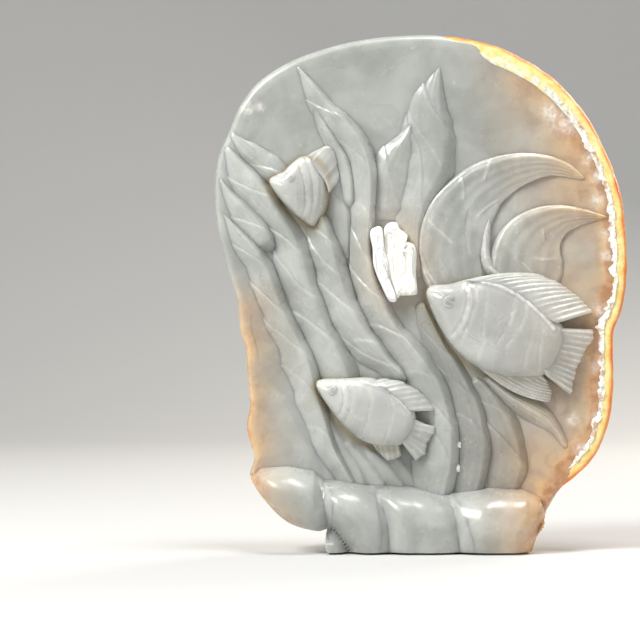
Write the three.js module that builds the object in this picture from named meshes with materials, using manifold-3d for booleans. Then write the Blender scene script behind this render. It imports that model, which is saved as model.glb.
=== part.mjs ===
// A carved jade figurine: an upright slice of a natural pebble. Its russet skin is left on the back and on
// the right edge, and its front is cut down to a relief of three fish that swim through reeds over boulders.
// Units are millimetres. +Z is up, the carved front faces -Y, and +X is the viewer's right.
// A height is measured from the plane of the pebble's cut face, towards the viewer, so it runs along -Y.
import * as THREE from "three";
import { mergeVertices } from "three/addons/utils/BufferGeometryUtils.js";
import Module from "manifold-3d";

const wasm = await Module();
wasm.setup();

// Driving dimensions
const BACK_DEPTH = 22; // from the cut face to the back of the pebble
const RELIEF = 13; // from the cut face to the crest of the boulders
const FIT_GAP = 0.3; // clearance left where one carved element is let into another
const ROOT = 5; // how far an element's root reaches behind the cut face before the stone trims it
const RIM_THICKNESS = 3; // the pebble's half thickness at its edge
const DISH = 1.2; // how far the ground is sunk in the middle
const LIP = 3.2; // how far the ground climbs again at the edge
const BOULDER_BASE = 0.5; // the boulders' bottoms clear the foot, so the stone itself stands on its flat
const CHAMFER = 0.5; // on the edges of fins and crystal slabs
const SKIN = 1.6; // skin on the back
const SKIN_AT_EDGE = 3; // skin where the cut face crosses it
const LOW_POINT = -50; // where the pebble's bottom would be before its foot is ground flat
const FRONT_EDGE = -0.4; // height of the front where it meets the pebble's side
const RIM_ROUNDING = 1; // how much further back the dome of the back starts than the side ends
const BACK_FULLNESS = 2.6; // how flat the middle of the back is
const BACK_SOFTNESS = 0.62; // how slowly the back turns into the side
const DOME_FULLNESS = 2.4; // how flat the middle of a fish body is
const UNDERCUT = 1.4; // from the edge of a fish body down to where its undercut starts
const BOULDER_FULLNESS = 2.8; // how flat the middle of a boulder is
const BOULDER_EDGE = 0.22; // height of a boulder's edge as a share of its crest
const SHOULDER = 0.55; // height of a reed's edge as a share of its crest
const MASK_REACH = 50; // from the pebble's heart to the nearest edge of the skin
const FRONT_SHARES = [0.2, 0.45, 0.68, 0.85, 0.95]; // rings of the pebble's front, as shares of its outline
const BACK_SHARES = [0.97, 0.9, 0.78, 0.6, 0.38, 0.15]; // and of its back
const DOME_SHARES = [0.18, 0.42, 0.65, 0.84, 0.95]; // rings of a fish or a boulder
const RING_POINTS = 60; // facets round the pebble
const SMALL_RING_POINTS = 26; // facets round a fish or a boulder

const HEART = [2, 60]; // the x and z of the pebble's thickest point

// Natural outline of the pebble, clockwise from the top, as x and z
const SILHOUETTE = [
  [4, 150], [20, 147.6], [33, 141.6], [41, 135.4], [48.6, 126.4], [54.2, 115.6], [57.8, 106], [59.6, 96],
  [60.1, 86], [59.8, 77], [58.4, 69.6], [56.3, 64.2], [56.1, 58], [56.2, 48], [55, 38], [52.2, 30.2],
  [49, 25.4], [45.4, 22],
  [40.6, 18], [37.2, 13], [33.6, 6], [30.6, -4], [24, -24], [4, LOW_POINT], [-12, -24], [-19, -3],
  [-25, 6.6], [-30, 6.5],
  [-38, 8.9], [-44.5, 14.8], [-49.3, 22], [-48.3, 27.4], [-50.4, 35.4], [-49.5, 43], [-50.3, 52.4],
  [-50.6, 58.4], [-52.4, 65], [-53.2, 73], [-56.4, 83.6], [-58.8, 94], [-59.7, 104], [-59, 113.4],
  [-55.4, 122.4], [-52.4, 129.4], [-46, 137.2], [-34, 144], [-16, 148.8],
];

// The part of the outline where skin was kept
const SKIN_MASK = [
  [-36, 122], [-18, 140], [16, 170], [75, 160], [80, 20], [44, 8], [24, 14], [-16, 22], [-36, 42],
  [-44, 80],
];

// Every reed and frond, as stations of x, z, half width and crest height, from its tip to its foot.
// lean moves the crest towards the right edge, from -1 to 1.
const REEDS = {
  reed_rim: {
    lean: 0.35,
    stations: [
      [-57.6, 107, 0.9, 2.6], [-55.4, 102.6, 2.1, 3.1], [-52, 98.6, 2.9, 3.6], [-48.4, 94.8, 3, 3.9],
      [-45, 90.6, 2.6, 3.7], [-42, 86.2, 1.3, 2.4],
    ],
  },
  reed_outer: {
    lean: 0.4,
    stations: [
      [-56.9, 97.4, 0.8, 2], [-53.8, 92.2, 2.3, 3], [-50, 87.6, 3, 3.9], [-47, 83.4, 3, 4.4],
      [-44.9, 78, 3.1, 4.4], [-43, 73, 3.1, 4.3], [-40.3, 67, 3, 4.3], [-37.2, 61, 3, 4.2],
      [-34.7, 55.4, 3.2, 4.2], [-33, 50, 3, 3.9], [-31.4, 44, 2.7, 3.5], [-28.8, 37, 2.3, 3.1],
      [-26.4, 30, 2, 2.9], [-23, 24, 1.8, 2.9], [-20, 19, 1.6, 2.8],
    ],
  },
  reed_left: {
    lean: 0.3,
    stations: [
      [-55.8, 116, 1.6, 3], [-53.2, 111.2, 3.2, 3.9], [-50, 107.2, 3.9, 4.5], [-46.9, 103.6, 3.6, 4.7],
      [-43.7, 99.4, 3, 4.6], [-40.6, 95, 3, 4.5], [-37.9, 90, 3.4, 4.5], [-36, 84, 3.7, 4.6],
      [-34.4, 78.4, 3.6, 4.6], [-32.6, 73, 3.3, 4.5], [-30.4, 67.6, 3.3, 4.4], [-27.9, 62, 3.1, 4.3],
      [-25.4, 57, 3.2, 4.1], [-23.2, 52, 3.2, 3.4], [-21, 45, 2.6, 2.2],
    ],
  },
  reed_mid: {
    lean: 0.35,
    stations: [
      [-30.4, 99.6, 1.2, 2.6], [-29, 95, 2.2, 3.7], [-27.7, 89.6, 2.9, 4.2], [-26.4, 84, 3.2, 4.5],
      [-24.9, 78.6, 3.3, 4.6], [-23.1, 73.4, 3.2, 4.7], [-20.9, 68.4, 3.2, 4.8], [-17.8, 63.4, 3.1, 4.9],
      [-14.4, 59.4, 2.8, 4.8], [-10.6, 55.6, 2.2, 4.5], [-6.8, 52, 1.7, 3.9], [-3, 48.4, 1.3, 3.2],
    ],
  },
  reed_behind_fish: {
    lean: 0.5,
    stations: [
      [-27.4, 114, 1.6, 3.4], [-25.6, 108, 2.5, 3.6], [-24.2, 102.4, 2.9, 3.6], [-23, 97, 2.6, 3.2],
      [-22.4, 91, 1.9, 2.5], [-22, 85, 1, 1.6],
    ],
  },
  reed_crown_left: {
    lean: -0.2,
    stations: [
      [-55.2, 122, 1.1, 2.9], [-51.8, 118.2, 2.3, 3.7], [-48.4, 115, 3, 4], [-45, 112, 3.1, 4],
      [-41.4, 108.6, 2.6, 3.6], [-38, 105, 1.6, 2.8],
    ],
  },
  reed_narrow: {
    lean: 0.2,
    stations: [
      [-31.4, 130, 0.7, 2.2], [-28.6, 125, 1.3, 3], [-25.6, 119.8, 1.7, 3.6], [-23, 114.8, 1.9, 3.8],
      [-21.4, 109.6, 2, 3.6], [-20.7, 104, 1.9, 3.2], [-21, 98, 1.2, 2.2],
    ],
  },
  reed_centre: {
    lean: 0.45,
    stations: [
      [-36.4, 141.4, 0.6, 2.2], [-32.2, 135, 1.8, 3.2], [-27.8, 128.6, 2.6, 4], [-23.6, 123.8, 3, 4.6],
      [-19.7, 119, 3.3, 4.8], [-17.2, 113.6, 3.3, 4.7], [-16.3, 107, 3, 4.3], [-16.1, 100.6, 2.6, 3.9],
      [-16.5, 94, 2.1, 3.6], [-16.7, 87.4, 2.1, 3.6], [-15.8, 80.6, 2.3, 4], [-13.9, 74.6, 2.5, 4.3],
      [-11.3, 68.8, 2.7, 4.5], [-7.6, 62.8, 2.9, 4.7], [-3.4, 57.4, 3.4, 4.7], [0.6, 52, 3.7, 4.5],
      [3.8, 46, 3.8, 4.3], [5.7, 39.4, 3.9, 4.1], [6.3, 33, 4.1, 4], [6, 26.6, 4.3, 3.9],
      [4.6, 19, 3.9, 3.4],
    ],
  },
  reed_broad: {
    lean: -0.3,
    stations: [
      [-2.4, 124.6, 0.5, 2], [-3.9, 120, 1.9, 2.7], [-6, 115.4, 3.6, 3], [-7.9, 110.4, 4.4, 3.1],
      [-8.7, 105, 4, 2.9], [-8.8, 100, 3.3, 2.4], [-9, 95.6, 2.6, 1.6],
    ],
  },
  reed_tall: {
    lean: 0.4,
    stations: [
      [5.6, 142.4, 0.6, 2], [3.8, 136, 2.8, 3], [2.8, 130, 4.3, 3.6], [3.1, 124, 4.8, 3.9],
      [3.5, 118, 5, 3.9], [2.9, 112.6, 5, 3.7], [1.2, 107.2, 4.4, 3.4], [-0.8, 102, 3.6, 3.1],
      [-2, 96.6, 2.7, 2.7], [-2, 91, 1.9, 2.3], [-1.2, 85, 1.2, 1.9], [-0.4, 79, 0.7, 1.4],
    ],
  },
  reed_low_inner: {
    lean: 0.55,
    stations: [
      [0, 72.6, 0.9, 1.4], [2.2, 66.6, 1.6, 2], [4.9, 60.4, 2.2, 2.7], [7.7, 54.8, 2.8, 3.2],
      [10.6, 49.4, 3.3, 3.5], [13, 43.6, 3.9, 3.6], [14.6, 37.6, 4.4, 3.6], [15.3, 31.4, 4.6, 3.5],
      [14.9, 25.4, 4.4, 3.3], [13.6, 18.6, 4, 2.9],
    ],
  },
  reed_low_outer: {
    lean: 0.55,
    stations: [
      [15, 50.4, 1.3, 1.8], [18, 46.4, 2.5, 2.4], [20.7, 41.8, 3.5, 2.9], [22.9, 36.8, 4.3, 3.1],
      [24.7, 31.4, 4.9, 3.1], [25.5, 26, 5, 3], [24.4, 19, 4.4, 2.6],
    ],
  },
  frond_large: {
    lean: -0.35,
    stations: [
      [47.6, 107.8, 0.5, 2.5], [42.8, 110.5, 1.8, 3.1], [36.8, 111.9, 2.9, 3.3], [30.8, 111.4, 4.2, 3.5],
      [24.8, 109.5, 5.5, 3.6], [18.9, 106.2, 6.7, 3.5], [14.5, 101.6, 8, 3.3], [11.2, 96.8, 9, 3],
      [9.2, 91.4, 9.2, 2.7], [8.7, 85.4, 8.6, 2.4], [10.2, 79, 7.6, 2],
    ],
  },
  frond_lip: {
    lean: 0,
    stations: [
      [20.6, 99, 0.5, 2.6], [19.3, 94, 0.9, 3.3], [18.7, 89.4, 1.1, 4], [18.8, 85.6, 1.3, 4.4],
      [20.4, 82.2, 1.2, 4.4], [23.4, 80, 0.8, 4],
    ],
  },
  frond_curled: {
    lean: -0.45,
    stations: [
      [54.4, 96.7, 0.4, 2.5], [50, 97.1, 1.5, 2.9], [45.6, 97.1, 2.7, 3.1], [41, 96.4, 4.2, 3.1],
      [36.6, 94.2, 6.4, 2.9], [33.2, 90.6, 8.7, 2.5], [31.4, 86.2, 9.6, 2.1], [30.6, 81, 9.6, 1.7],
      [30.6, 76, 8.6, 1.2],
    ],
  },
  streamer_fin: {
    lean: -0.1,
    stations: [
      [18.8, 51, 0.7, 2.6], [23.2, 47.2, 1.2, 2.8], [27.8, 43.8, 1.6, 2.9], [32.4, 41.2, 1.9, 2.8],
      [36.4, 38.7, 1.9, 2.6], [39.6, 35.2, 1.3, 2.2], [42, 31, 1, 1.9], [43.8, 27.4, 0.5, 1.5],
    ],
  },
};

// Outlines of the fish bodies, as x and z, clockwise from the mouth. Their crest follows the axis.
const FISH = {
  fish_large_body: {
    outline: [
      [1.6, 75.4], [3.2, 77.3], [8, 77.7], [14, 79.2], [20, 79.7], [26, 78.4], [32, 74.6], [37.4, 69.4],
      [41.2, 65.2], [41.4, 61.4], [39.6, 56.4], [36.6, 51.9], [30, 50.8], [23, 51.4], [16, 53.9],
      [10, 58.8], [5.6, 65.2], [2.6, 71.4],
    ],
    axis: [[11, 71.5], [32, 60.5]],
    edge: 3.6,
    crest: 9.6,
  },
  fish_lower_body: {
    outline: [
      [-30.2, 49.2], [-28.4, 50.3], [-22, 50.5], [-14, 50.6], [-8.4, 47.8], [-3.4, 43.6], [-1.4, 39.4],
      [-2.2, 35.2], [-5.6, 31.4], [-11, 31], [-17, 32.6], [-22.6, 37.2], [-27, 42.8], [-29.6, 46.8],
    ],
    axis: [[-24, 46], [-9, 38.5]],
    edge: 3.4,
    crest: 8.4,
  },
  fish_upper_body: {
    outline: [
      [-43.8, 107.4], [-41.8, 109.2], [-39.6, 110.2], [-37.2, 112.6], [-34, 114.6], [-29.6, 114.2],
      [-26.6, 109.6], [-26.4, 103], [-28, 97.4], [-30.8, 94.4], [-34, 96], [-38, 99.3], [-41.4, 103.2],
    ],
    axis: [[-37, 105.6], [-31, 104]],
    edge: 3,
    crest: 7.4,
  },
};

// Fins are plates: outline in x and z, clockwise, and the height of their face
const FINS = {
  fish_large_dorsal_fin: {
    face: 5.2,
    outline: [
      [17, 79.4], [22, 80.7], [29, 80.8], [36, 79.6], [41.6, 76.4], [46.8, 72.9], [49.9, 69.2],
      [45.6, 68.7], [40.6, 67.4], [36, 69], [28, 75],
    ],
  },
  fish_large_tail_fin: {
    face: 4.6,
    outline: [
      [39.4, 66], [41.8, 64], [46, 63.4], [50.1, 64.4], [49.2, 60.6], [46.2, 56.6], [44.6, 51.4],
      [44.4, 47.2], [43.2, 45.6], [41, 46.6], [38.4, 51.2], [36.4, 55],
    ],
  },
  fish_large_anal_fin: {
    face: 3.7,
    outline: [
      [17.4, 53.2], [20.4, 49.4], [26.6, 46.2], [32, 44.2], [37.6, 43.3], [36.9, 47], [34.8, 50.4],
      [28, 53.6],
    ],
  },
  fish_lower_dorsal_fin: {
    face: 5,
    outline: [
      [-16, 50.5], [-10.4, 50.4], [-5, 49.3], [0, 46.3], [3.6, 43.6], [4.6, 41], [0.4, 40.5], [-3.4, 40],
      [-7, 44],
    ],
  },
  fish_lower_tail_fin: {
    face: 4.4,
    outline: [
      [-3, 38.6], [-0.8, 38.2], [1, 36.6], [4.3, 36.2], [3.6, 33.8], [1.6, 31.4], [0.6, 27.8], [-1, 26.1],
      [-3.2, 28.2], [-5.2, 31.4], [-5, 35],
    ],
  },
  fish_lower_pelvic_fin: {
    face: 3.8,
    outline: [[-15, 32.4], [-12, 29], [-9, 26.9], [-6.4, 27], [-5.4, 28.8], [-6.8, 32.4], [-11, 34]],
  },
  fish_upper_dorsal_fin: {
    face: 4.4,
    outline: [
      [-35, 114], [-31, 116.2], [-25.2, 118.4], [-23.6, 114.6], [-23.2, 108.6], [-27, 107], [-31, 111],
    ],
  },
};

const EYES = {
  fish_large_eye: { at: [8, 72.4], radius: 1.7, height: 9.9 },
  fish_lower_eye: { at: [-25.4, 47], radius: 1.2, height: 8.8 },
  fish_upper_eye: { at: [-37.2, 108], radius: 1.1, height: 7.7 },
};

// Boulders along the foot
const BOULDERS = {
  boulder_left: {
    outline: [
      [-49.2, 23.4], [-46, 25.2], [-38, 25.4], [-31, 24.8], [-28.4, 20], [-27.6, 13], [-28.8, 7.4],
      [-34, 7], [-40, 9.9], [-45.4, 16],
    ],
    axis: [[-41, 18.5], [-34, 14]],
    crest: 11.4,
  },
  boulder_middle_left: {
    outline: [
      [-29, 21.6], [-22, 21.4], [-15, 19.8], [-10.6, 14.6], [-9.2, 8], [-10, -3], [-22, -3], [-26.8, 7],
      [-28.6, 15],
    ],
    axis: [[-21, 13], [-17, 5]],
    crest: 12,
  },
  boulder_middle_right: {
    outline: [[-11, 20], [-2, 19.8], [4, 18], [8.8, 14], [11.2, 8], [12, -3], [-9, -3], [-9.4, 8]],
    axis: [[-2, 11], [2, 4]],
    crest: RELIEF,
  },
  boulder_right: {
    outline: [
      [8, 17.6], [14, 18.4], [22, 19.2], [30, 18.8], [34.6, 16.4], [36.4, 11], [34, 5], [28, -3], [14, -3],
      [9.6, 8],
    ],
    axis: [[17, 9], [27, 9]],
    crest: 12.2,
  },
};

// Nest of white crystal left in the middle of the field: two slabs, with the height of their face
const CRYSTALS = {
  quartz_slab_left: {
    face: 3.4,
    outline: [
      [-14.5, 91.8], [-13.2, 93.4], [-11.2, 93.2], [-10.6, 88], [-9.4, 80.6], [-7.2, 74], [-8.8, 73.2],
      [-10.2, 75.2], [-12.6, 81.4], [-13.6, 87.6],
    ],
  },
  quartz_slab_right: {
    face: 2.7,
    outline: [
      [-10, 93.8], [-7.2, 95], [-5.8, 93], [-3.9, 91.2], [-4.6, 89.6], [-2, 88], [-1.7, 81], [-1.2, 76.2],
      [-2, 75.1], [-5.6, 75], [-6.8, 74.4], [-8.8, 80.6], [-10.1, 88],
    ],
  },
};

const SPECKS = {
  quartz_speck_upper: { at: [11, 31.2], radius: 0.9, height: 3.4 },
  quartz_speck_lower: { at: [10.5, 24.4], radius: 1.2, height: 3.4 },
};

// Band of crystal between the skin and the jade, along the right rim, as x, z, half width and crest height
const CRUST = {
  lean: 0,
  stations: [
    [35, 136, 0.9, 2.4], [41, 129.6, 1.5, 2.9], [46, 123, 1.5, 2.9], [50, 116, 1.4, 2.9],
    [52.9, 109, 1.6, 3], [54.8, 101, 1.5, 2.9], [55.9, 93, 1.3, 2.8], [56, 85, 1.4, 2.9],
    [55.3, 77, 1.5, 2.8], [53.6, 70, 1.3, 2.7], [52, 63.6, 1.3, 2.6], [51.9, 56, 1.3, 2.6],
    [51.9, 48, 1.2, 2.6], [50.8, 40, 1.1, 2.5], [48.2, 33, 1, 2.4], [45, 28.6, 0.6, 2.2],
  ],
};

const JADE = new THREE.MeshStandardMaterial({ color: 0xb9bcb6, roughness: 0.28, metalness: 0 });
const JADE_LIGHT = new THREE.MeshStandardMaterial({ color: 0xc6c8c2, roughness: 0.25, metalness: 0 });
const RUSSET = new THREE.MeshStandardMaterial({ color: 0xd98a2b, roughness: 0.4, metalness: 0 });
const QUARTZ = new THREE.MeshStandardMaterial({ color: 0xf2f0ea, roughness: 0.45, metalness: 0 });

// Points along a smooth curve through the given points, which may hold any number of values each
function smooth(points, steps) {
  const last = points.length - 1;
  const at = (i) => points[Math.min(Math.max(i, 0), last)];
  const made = [];
  for (let s = 0; s < last; s++)
    for (let k = 0; k < steps; k++) made.push(between(at(s - 1), at(s), at(s + 1), at(s + 2), k / steps));
  made.push([...points[last]]);
  return made;
}

// Catmull-Rom interpolation of four neighbours, from b at 0 to c at 1
function between(a, b, c, d, t) {
  return b.map((value, i) => {
    const slope = c[i] - a[i];
    const bend = 2 * a[i] - 5 * b[i] + 4 * c[i] - d[i];
    const twist = 3 * (b[i] - c[i]) + d[i] - a[i];
    return value + 0.5 * t * (slope + t * (bend + t * twist));
  });
}

// A closed outline resampled to a number of points evenly spaced along it
function evenly(outline, count) {
  const curve = new THREE.CatmullRomCurve3(
    outline.map(([x, z]) => new THREE.Vector3(x, 0, z)),
    true,
    "centripetal",
  );
  return curve.getSpacedPoints(count).slice(0, count).map((p) => [p.x, p.z]);
}

// Solid from an indexed list of triangles; it is turned right side out if its volume is negative
function solidFrom(vertices, triangles) {
  const vertProperties = new Float32Array(vertices.flat());
  const made = (faces) =>
    new wasm.Manifold(
      new wasm.Mesh({ numProp: 3, vertProperties, triVerts: new Uint32Array(faces.flat()) }),
    );
  const first = made(triangles);
  return first.volume() > 0 ? first : made(triangles.map(([a, b, c]) => [a, c, b]));
}

function solidOf(geometry) {
  const bare = geometry.clone();
  bare.deleteAttribute("normal");
  bare.deleteAttribute("uv");
  const merged = mergeVertices(bare, 1e-4);
  const vertProperties = merged.attributes.position.array;
  const triVerts = new Uint32Array(merged.index.array);
  return new wasm.Manifold(new wasm.Mesh({ numProp: 3, vertProperties, triVerts }));
}

function geometryOf(solid) {
  const mesh = solid.getMesh();
  const geometry = new THREE.BufferGeometry();
  geometry.setAttribute("position", new THREE.BufferAttribute(new Float32Array(mesh.vertProperties), 3));
  geometry.setIndex(new THREE.BufferAttribute(new Uint32Array(mesh.triVerts), 1));
  geometry.computeVertexNormals();
  return geometry;
}

const largest = (solid) => solid.decompose().sort((a, b) => b.volume() - a.volume())[0];

// The axis point nearest to p, which a ring shrinks towards
function onAxis([[ax, az], [bx, bz]], [x, z]) {
  const length = (bx - ax) ** 2 + (bz - az) ** 2;
  const t = length ? Math.min(1, Math.max(0, ((x - ax) * (bx - ax) + (z - az) * (bz - az)) / length)) : 0;
  return [ax + t * (bx - ax), az + t * (bz - az)];
}

// A body of nested rings: each ring is the outline shrunk towards the axis to share, at depth y, and the
// first and last rings are closed by fans. grow moves every ring outward.
function ringBody(outline, axis, rings, grow = 0) {
  const middle = [(axis[0][0] + axis[1][0]) / 2, (axis[0][1] + axis[1][1]) / 2];
  const n = outline.length;
  const vertices = [];
  for (const { share, y } of rings)
    for (const point of outline) {
      const [ax, az] = onAxis(axis, point);
      const dx = point[0] - ax;
      const dz = point[1] - az;
      const reach = share + (grow * Math.sqrt(share)) / Math.hypot(dx, dz);
      vertices.push([ax + reach * dx, y, az + reach * dz]);
    }
  const triangles = [];
  for (let r = 0; r + 1 < rings.length; r++)
    for (let i = 0; i < n; i++) {
      const a = r * n + i;
      const b = r * n + ((i + 1) % n);
      triangles.push([a, b, a + n], [b, b + n, a + n]);
    }
  const front = vertices.push([middle[0], rings[0].y, middle[1]]) - 1;
  const back = vertices.push([middle[0], rings.at(-1).y, middle[1]]) - 1;
  const last = (rings.length - 1) * n;
  for (let i = 0; i < n; i++) {
    const next = (i + 1) % n;
    triangles.push([front, next, i], [back, last + i, last + next]);
  }
  return solidFrom(vertices, triangles);
}

// The pebble: a dished front and a domed back. inset shrinks its outline, backInset shrinks its back, and
// lift raises its front.
function pebble(inset = 0, backInset = 0, lift = 0) {
  const outline = evenly(SILHOUETTE, RING_POINTS);
  const bulge = BACK_DEPTH - RIM_THICKNESS - RIM_ROUNDING;
  const front = FRONT_SHARES.map((share) => ({ share, y: DISH - LIP * share ** 4 - lift }));
  const back = BACK_SHARES.map((share) => ({
    share,
    y: RIM_THICKNESS + RIM_ROUNDING + bulge * (1 - share ** BACK_FULLNESS) ** BACK_SOFTNESS - backInset,
  }));
  back.at(-1).y = BACK_DEPTH - backInset;
  const edge = [{ share: 1, y: -FRONT_EDGE - lift }, { share: 1, y: RIM_THICKNESS - backInset }];
  return ringBody(outline, [HEART, HEART], [...front, ...edge, ...back], -inset);
}

// A prism along Y over a convex x and z outline, from depth y0 to depth y1
function prism(outline, y0, y1) {
  return ringBody(outline, [HEART, HEART], [{ share: 1, y: y0 }, { share: 1, y: y1 }]);
}

// A rounded body in high relief: a domed face, an edge, and an undercut root
function dome({ outline, axis, edge, crest }, grow = 0) {
  const face = DOME_SHARES.map((share) => ({
    share,
    y: -(edge + (crest - edge) * Math.sqrt(1 - share ** DOME_FULLNESS)) - grow,
  }));
  const under = [{ share: 1, y: -edge }, { share: 0.96, y: -edge + UNDERCUT }, { share: 0.88, y: ROOT }];
  return ringBody(evenly(outline, SMALL_RING_POINTS), axis, [...face, ...under], grow);
}

function boulder({ outline, axis, crest }, grow = 0) {
  const low = BOULDER_EDGE * crest;
  const face = DOME_SHARES.map((share) => ({
    share,
    y: -(low + (crest - low) * Math.sqrt(1 - share ** BOULDER_FULLNESS)) - grow,
  }));
  face[0].y = -crest - grow;
  const sides = [{ share: 1, y: -low }, { share: 1, y: ROOT }];
  return ringBody(evenly(outline, SMALL_RING_POINTS), axis, [...face, ...sides], grow);
}

// A reed: a keeled strip swept along its stations, with its root behind the cut face
function reed({ stations, lean }, grow = 0) {
  const line = smooth(stations, 2);
  const vertices = [];
  line.forEach(([x, z, halfWidth, crest], i) => {
    const [x0, z0] = line[Math.max(i - 1, 0)];
    const [x1, z1] = line[Math.min(i + 1, line.length - 1)];
    const long = Math.hypot(x1 - x0, z1 - z0);
    // Across the reed, to the viewer's right where the reed runs down
    const across = [-(z1 - z0) / long, (x1 - x0) / long];
    const w = halfWidth + grow;
    const shoulder = -(SHOULDER * crest + grow);
    const ends = (i === 0 ? -grow : 0) + (i === line.length - 1 ? grow : 0);
    const cx = x + (ends * (x1 - x0)) / long;
    const cz = z + (ends * (z1 - z0)) / long;
    const keel = [lean * w, -(crest + grow)];
    for (const [side, y] of [[-w, ROOT], [-w, shoulder], keel, [w, shoulder], [w, ROOT]])
      vertices.push([cx + side * across[0], y, cz + side * across[1]]);
  });
  const section = 5;
  const triangles = [];
  for (let i = 0; i + 1 < line.length; i++)
    for (let k = 0; k < section; k++) {
      const a = i * section + k;
      const b = i * section + ((k + 1) % section);
      triangles.push([a, b, a + section], [b, b + section, a + section]);
    }
  const end = (line.length - 1) * section;
  for (let k = 1; k + 1 < section; k++) triangles.push([0, k + 1, k], [end, end + k, end + k + 1]);
  return solidFrom(vertices, triangles);
}

// A fin or a crystal slab: a plate with a flat face and a chamfered edge
function plate({ outline, face }, grow = 0) {
  const shape = new THREE.Shape(outline.map(([x, z]) => new THREE.Vector2(x, z)));
  const geometry = new THREE.ExtrudeGeometry(shape, {
    depth: face + grow + ROOT - CHAMFER,
    bevelThickness: CHAMFER,
    bevelSize: CHAMFER,
    bevelOffset: grow - CHAMFER,
    bevelSegments: 1,
    curveSegments: 1,
  });
  geometry.rotateX(Math.PI / 2).translate(0, ROOT, 0);
  return solidOf(geometry);
}

// A round bead sunk into the face below it, with its crest at the given height
function bead({ at: [x, z], radius, height }, grow = 0) {
  const geometry = new THREE.SphereGeometry(radius + grow, 12, 8).translate(x, radius - height, z);
  return solidOf(geometry);
}

// The pebble without its skin, as far forward as lift; clearance is kept from the skin
function blank(lift) {
  const core = pebble(SKIN_AT_EDGE + FIT_GAP, SKIN + FIT_GAP, lift);
  const skinned = prism(SKIN_MASK, -BACK_DEPTH, 2 * BACK_DEPTH);
  return pebble(0, 0, lift).subtract(skinned.subtract(core));
}

function skin() {
  const core = pebble(SKIN_AT_EDGE, SKIN, BACK_DEPTH);
  const margin = 1 - FIT_GAP / MASK_REACH;
  const [hx, hz] = HEART;
  const mask = SKIN_MASK.map(([x, z]) => [hx + margin * (x - hx), hz + margin * (z - hz)]);
  return pebble().intersect(prism(mask, -BACK_DEPTH, 2 * BACK_DEPTH)).subtract(core);
}

// The carved elements, from the back to the front
function elements() {
  const made = [];
  const addAll = (group, material, build) => {
    for (const [name, shape] of Object.entries(group))
      made.push({ name, material, make: (grow) => build(shape, grow) });
  };
  addAll({ quartz_crust: CRUST }, QUARTZ, reed);
  addAll(CRYSTALS, QUARTZ, plate);
  addAll(REEDS, JADE, reed);
  addAll(FINS, JADE_LIGHT, plate);
  addAll(FISH, JADE_LIGHT, dome);
  addAll(SPECKS, QUARTZ, bead);
  addAll(EYES, JADE_LIGHT, bead);
  addAll(BOULDERS, JADE, boulder);
  return made;
}

// Every element is cut by those in front of it, and the stone is cut by all of them
function carve() {
  const envelope = blank(RELIEF + ROOT);
  const solids = [];
  let inFront = null;
  for (const { name, material, make } of elements().reverse()) {
    const whole = make(0).intersect(envelope).trimByPlane([0, 0, 1], BOULDER_BASE);
    solids.push({ name, material, solid: largest(inFront ? whole.subtract(inFront) : whole) });
    inFront = inFront ? inFront.add(make(FIT_GAP)) : make(FIT_GAP);
  }
  const stone = blank(0).trimByPlane([0, 0, 1], 0).subtract(inFront);
  solids.push({ name: "stone_ground", material: JADE, solid: largest(stone) });
  solids.push({ name: "russet_skin", material: RUSSET, solid: largest(skin().trimByPlane([0, 0, 1], 0)) });
  return solids.reverse();
}

// The group with its origin at the middle of the bounding box's bottom
function figurine() {
  const group = new THREE.Group();
  group.name = "jade_figurine";
  for (const { name, material, solid } of carve()) {
    const mesh = new THREE.Mesh(geometryOf(solid), material);
    mesh.name = name;
    group.add(mesh);
  }
  const box = new THREE.Box3().setFromObject(group);
  const centre = box.getCenter(new THREE.Vector3());
  for (const mesh of group.children) mesh.geometry.translate(-centre.x, -centre.y, -box.min.z);
  return group;
}

export default figurine();
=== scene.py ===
"""Looks of a carved jade pebble: three fish among reeds over boulders, with russet skin at the right edge.

Shapes are given in the relief's own millimetres: x to the viewer's right, z up from the foot, and h the
height above the plane of the cut face, towards the viewer.
"""

import math

import bpy
import bmesh
import numpy as np
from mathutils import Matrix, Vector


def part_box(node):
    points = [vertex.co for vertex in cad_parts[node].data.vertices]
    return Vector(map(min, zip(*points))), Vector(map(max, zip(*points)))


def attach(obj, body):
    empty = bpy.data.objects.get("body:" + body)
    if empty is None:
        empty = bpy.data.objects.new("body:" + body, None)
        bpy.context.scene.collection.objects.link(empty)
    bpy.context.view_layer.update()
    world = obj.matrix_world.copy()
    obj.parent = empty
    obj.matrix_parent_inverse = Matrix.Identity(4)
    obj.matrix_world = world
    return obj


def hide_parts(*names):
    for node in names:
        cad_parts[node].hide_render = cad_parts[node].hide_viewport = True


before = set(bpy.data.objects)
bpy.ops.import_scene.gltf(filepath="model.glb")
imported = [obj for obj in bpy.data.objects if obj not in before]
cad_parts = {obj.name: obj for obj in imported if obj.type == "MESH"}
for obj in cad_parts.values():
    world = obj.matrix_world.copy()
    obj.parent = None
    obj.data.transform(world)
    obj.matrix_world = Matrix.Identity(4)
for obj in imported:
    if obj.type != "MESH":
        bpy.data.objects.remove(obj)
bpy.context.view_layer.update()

MM = 0.001
ROOT = 3.6  # mm that every carved element reaches behind the cut face
RIM = 4.0  # mm from the cut face to where the back starts to curve
BACK = 22.0  # mm from the cut face to the back
DISH = 1.2  # mm that the middle of the ground lies behind the cut face
LIP = 3.2  # mm that the ground rises from its middle to the outline
GROUND_SHARE = 0.945  # share of the way to the outline where the ground ends and the rounded rim starts
HEART = np.array([2.0, 60.0])  # x and z that the pebble's rings shrink towards
TRIM = 0.999  # keeps the rounded rim within the frame's box
FOOT_CUT = 0.6  # mm above the floor where the skin and the boulders end
EYE_AT = (8.0, 72.4, 8.2)  # the large fish's eye

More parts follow.
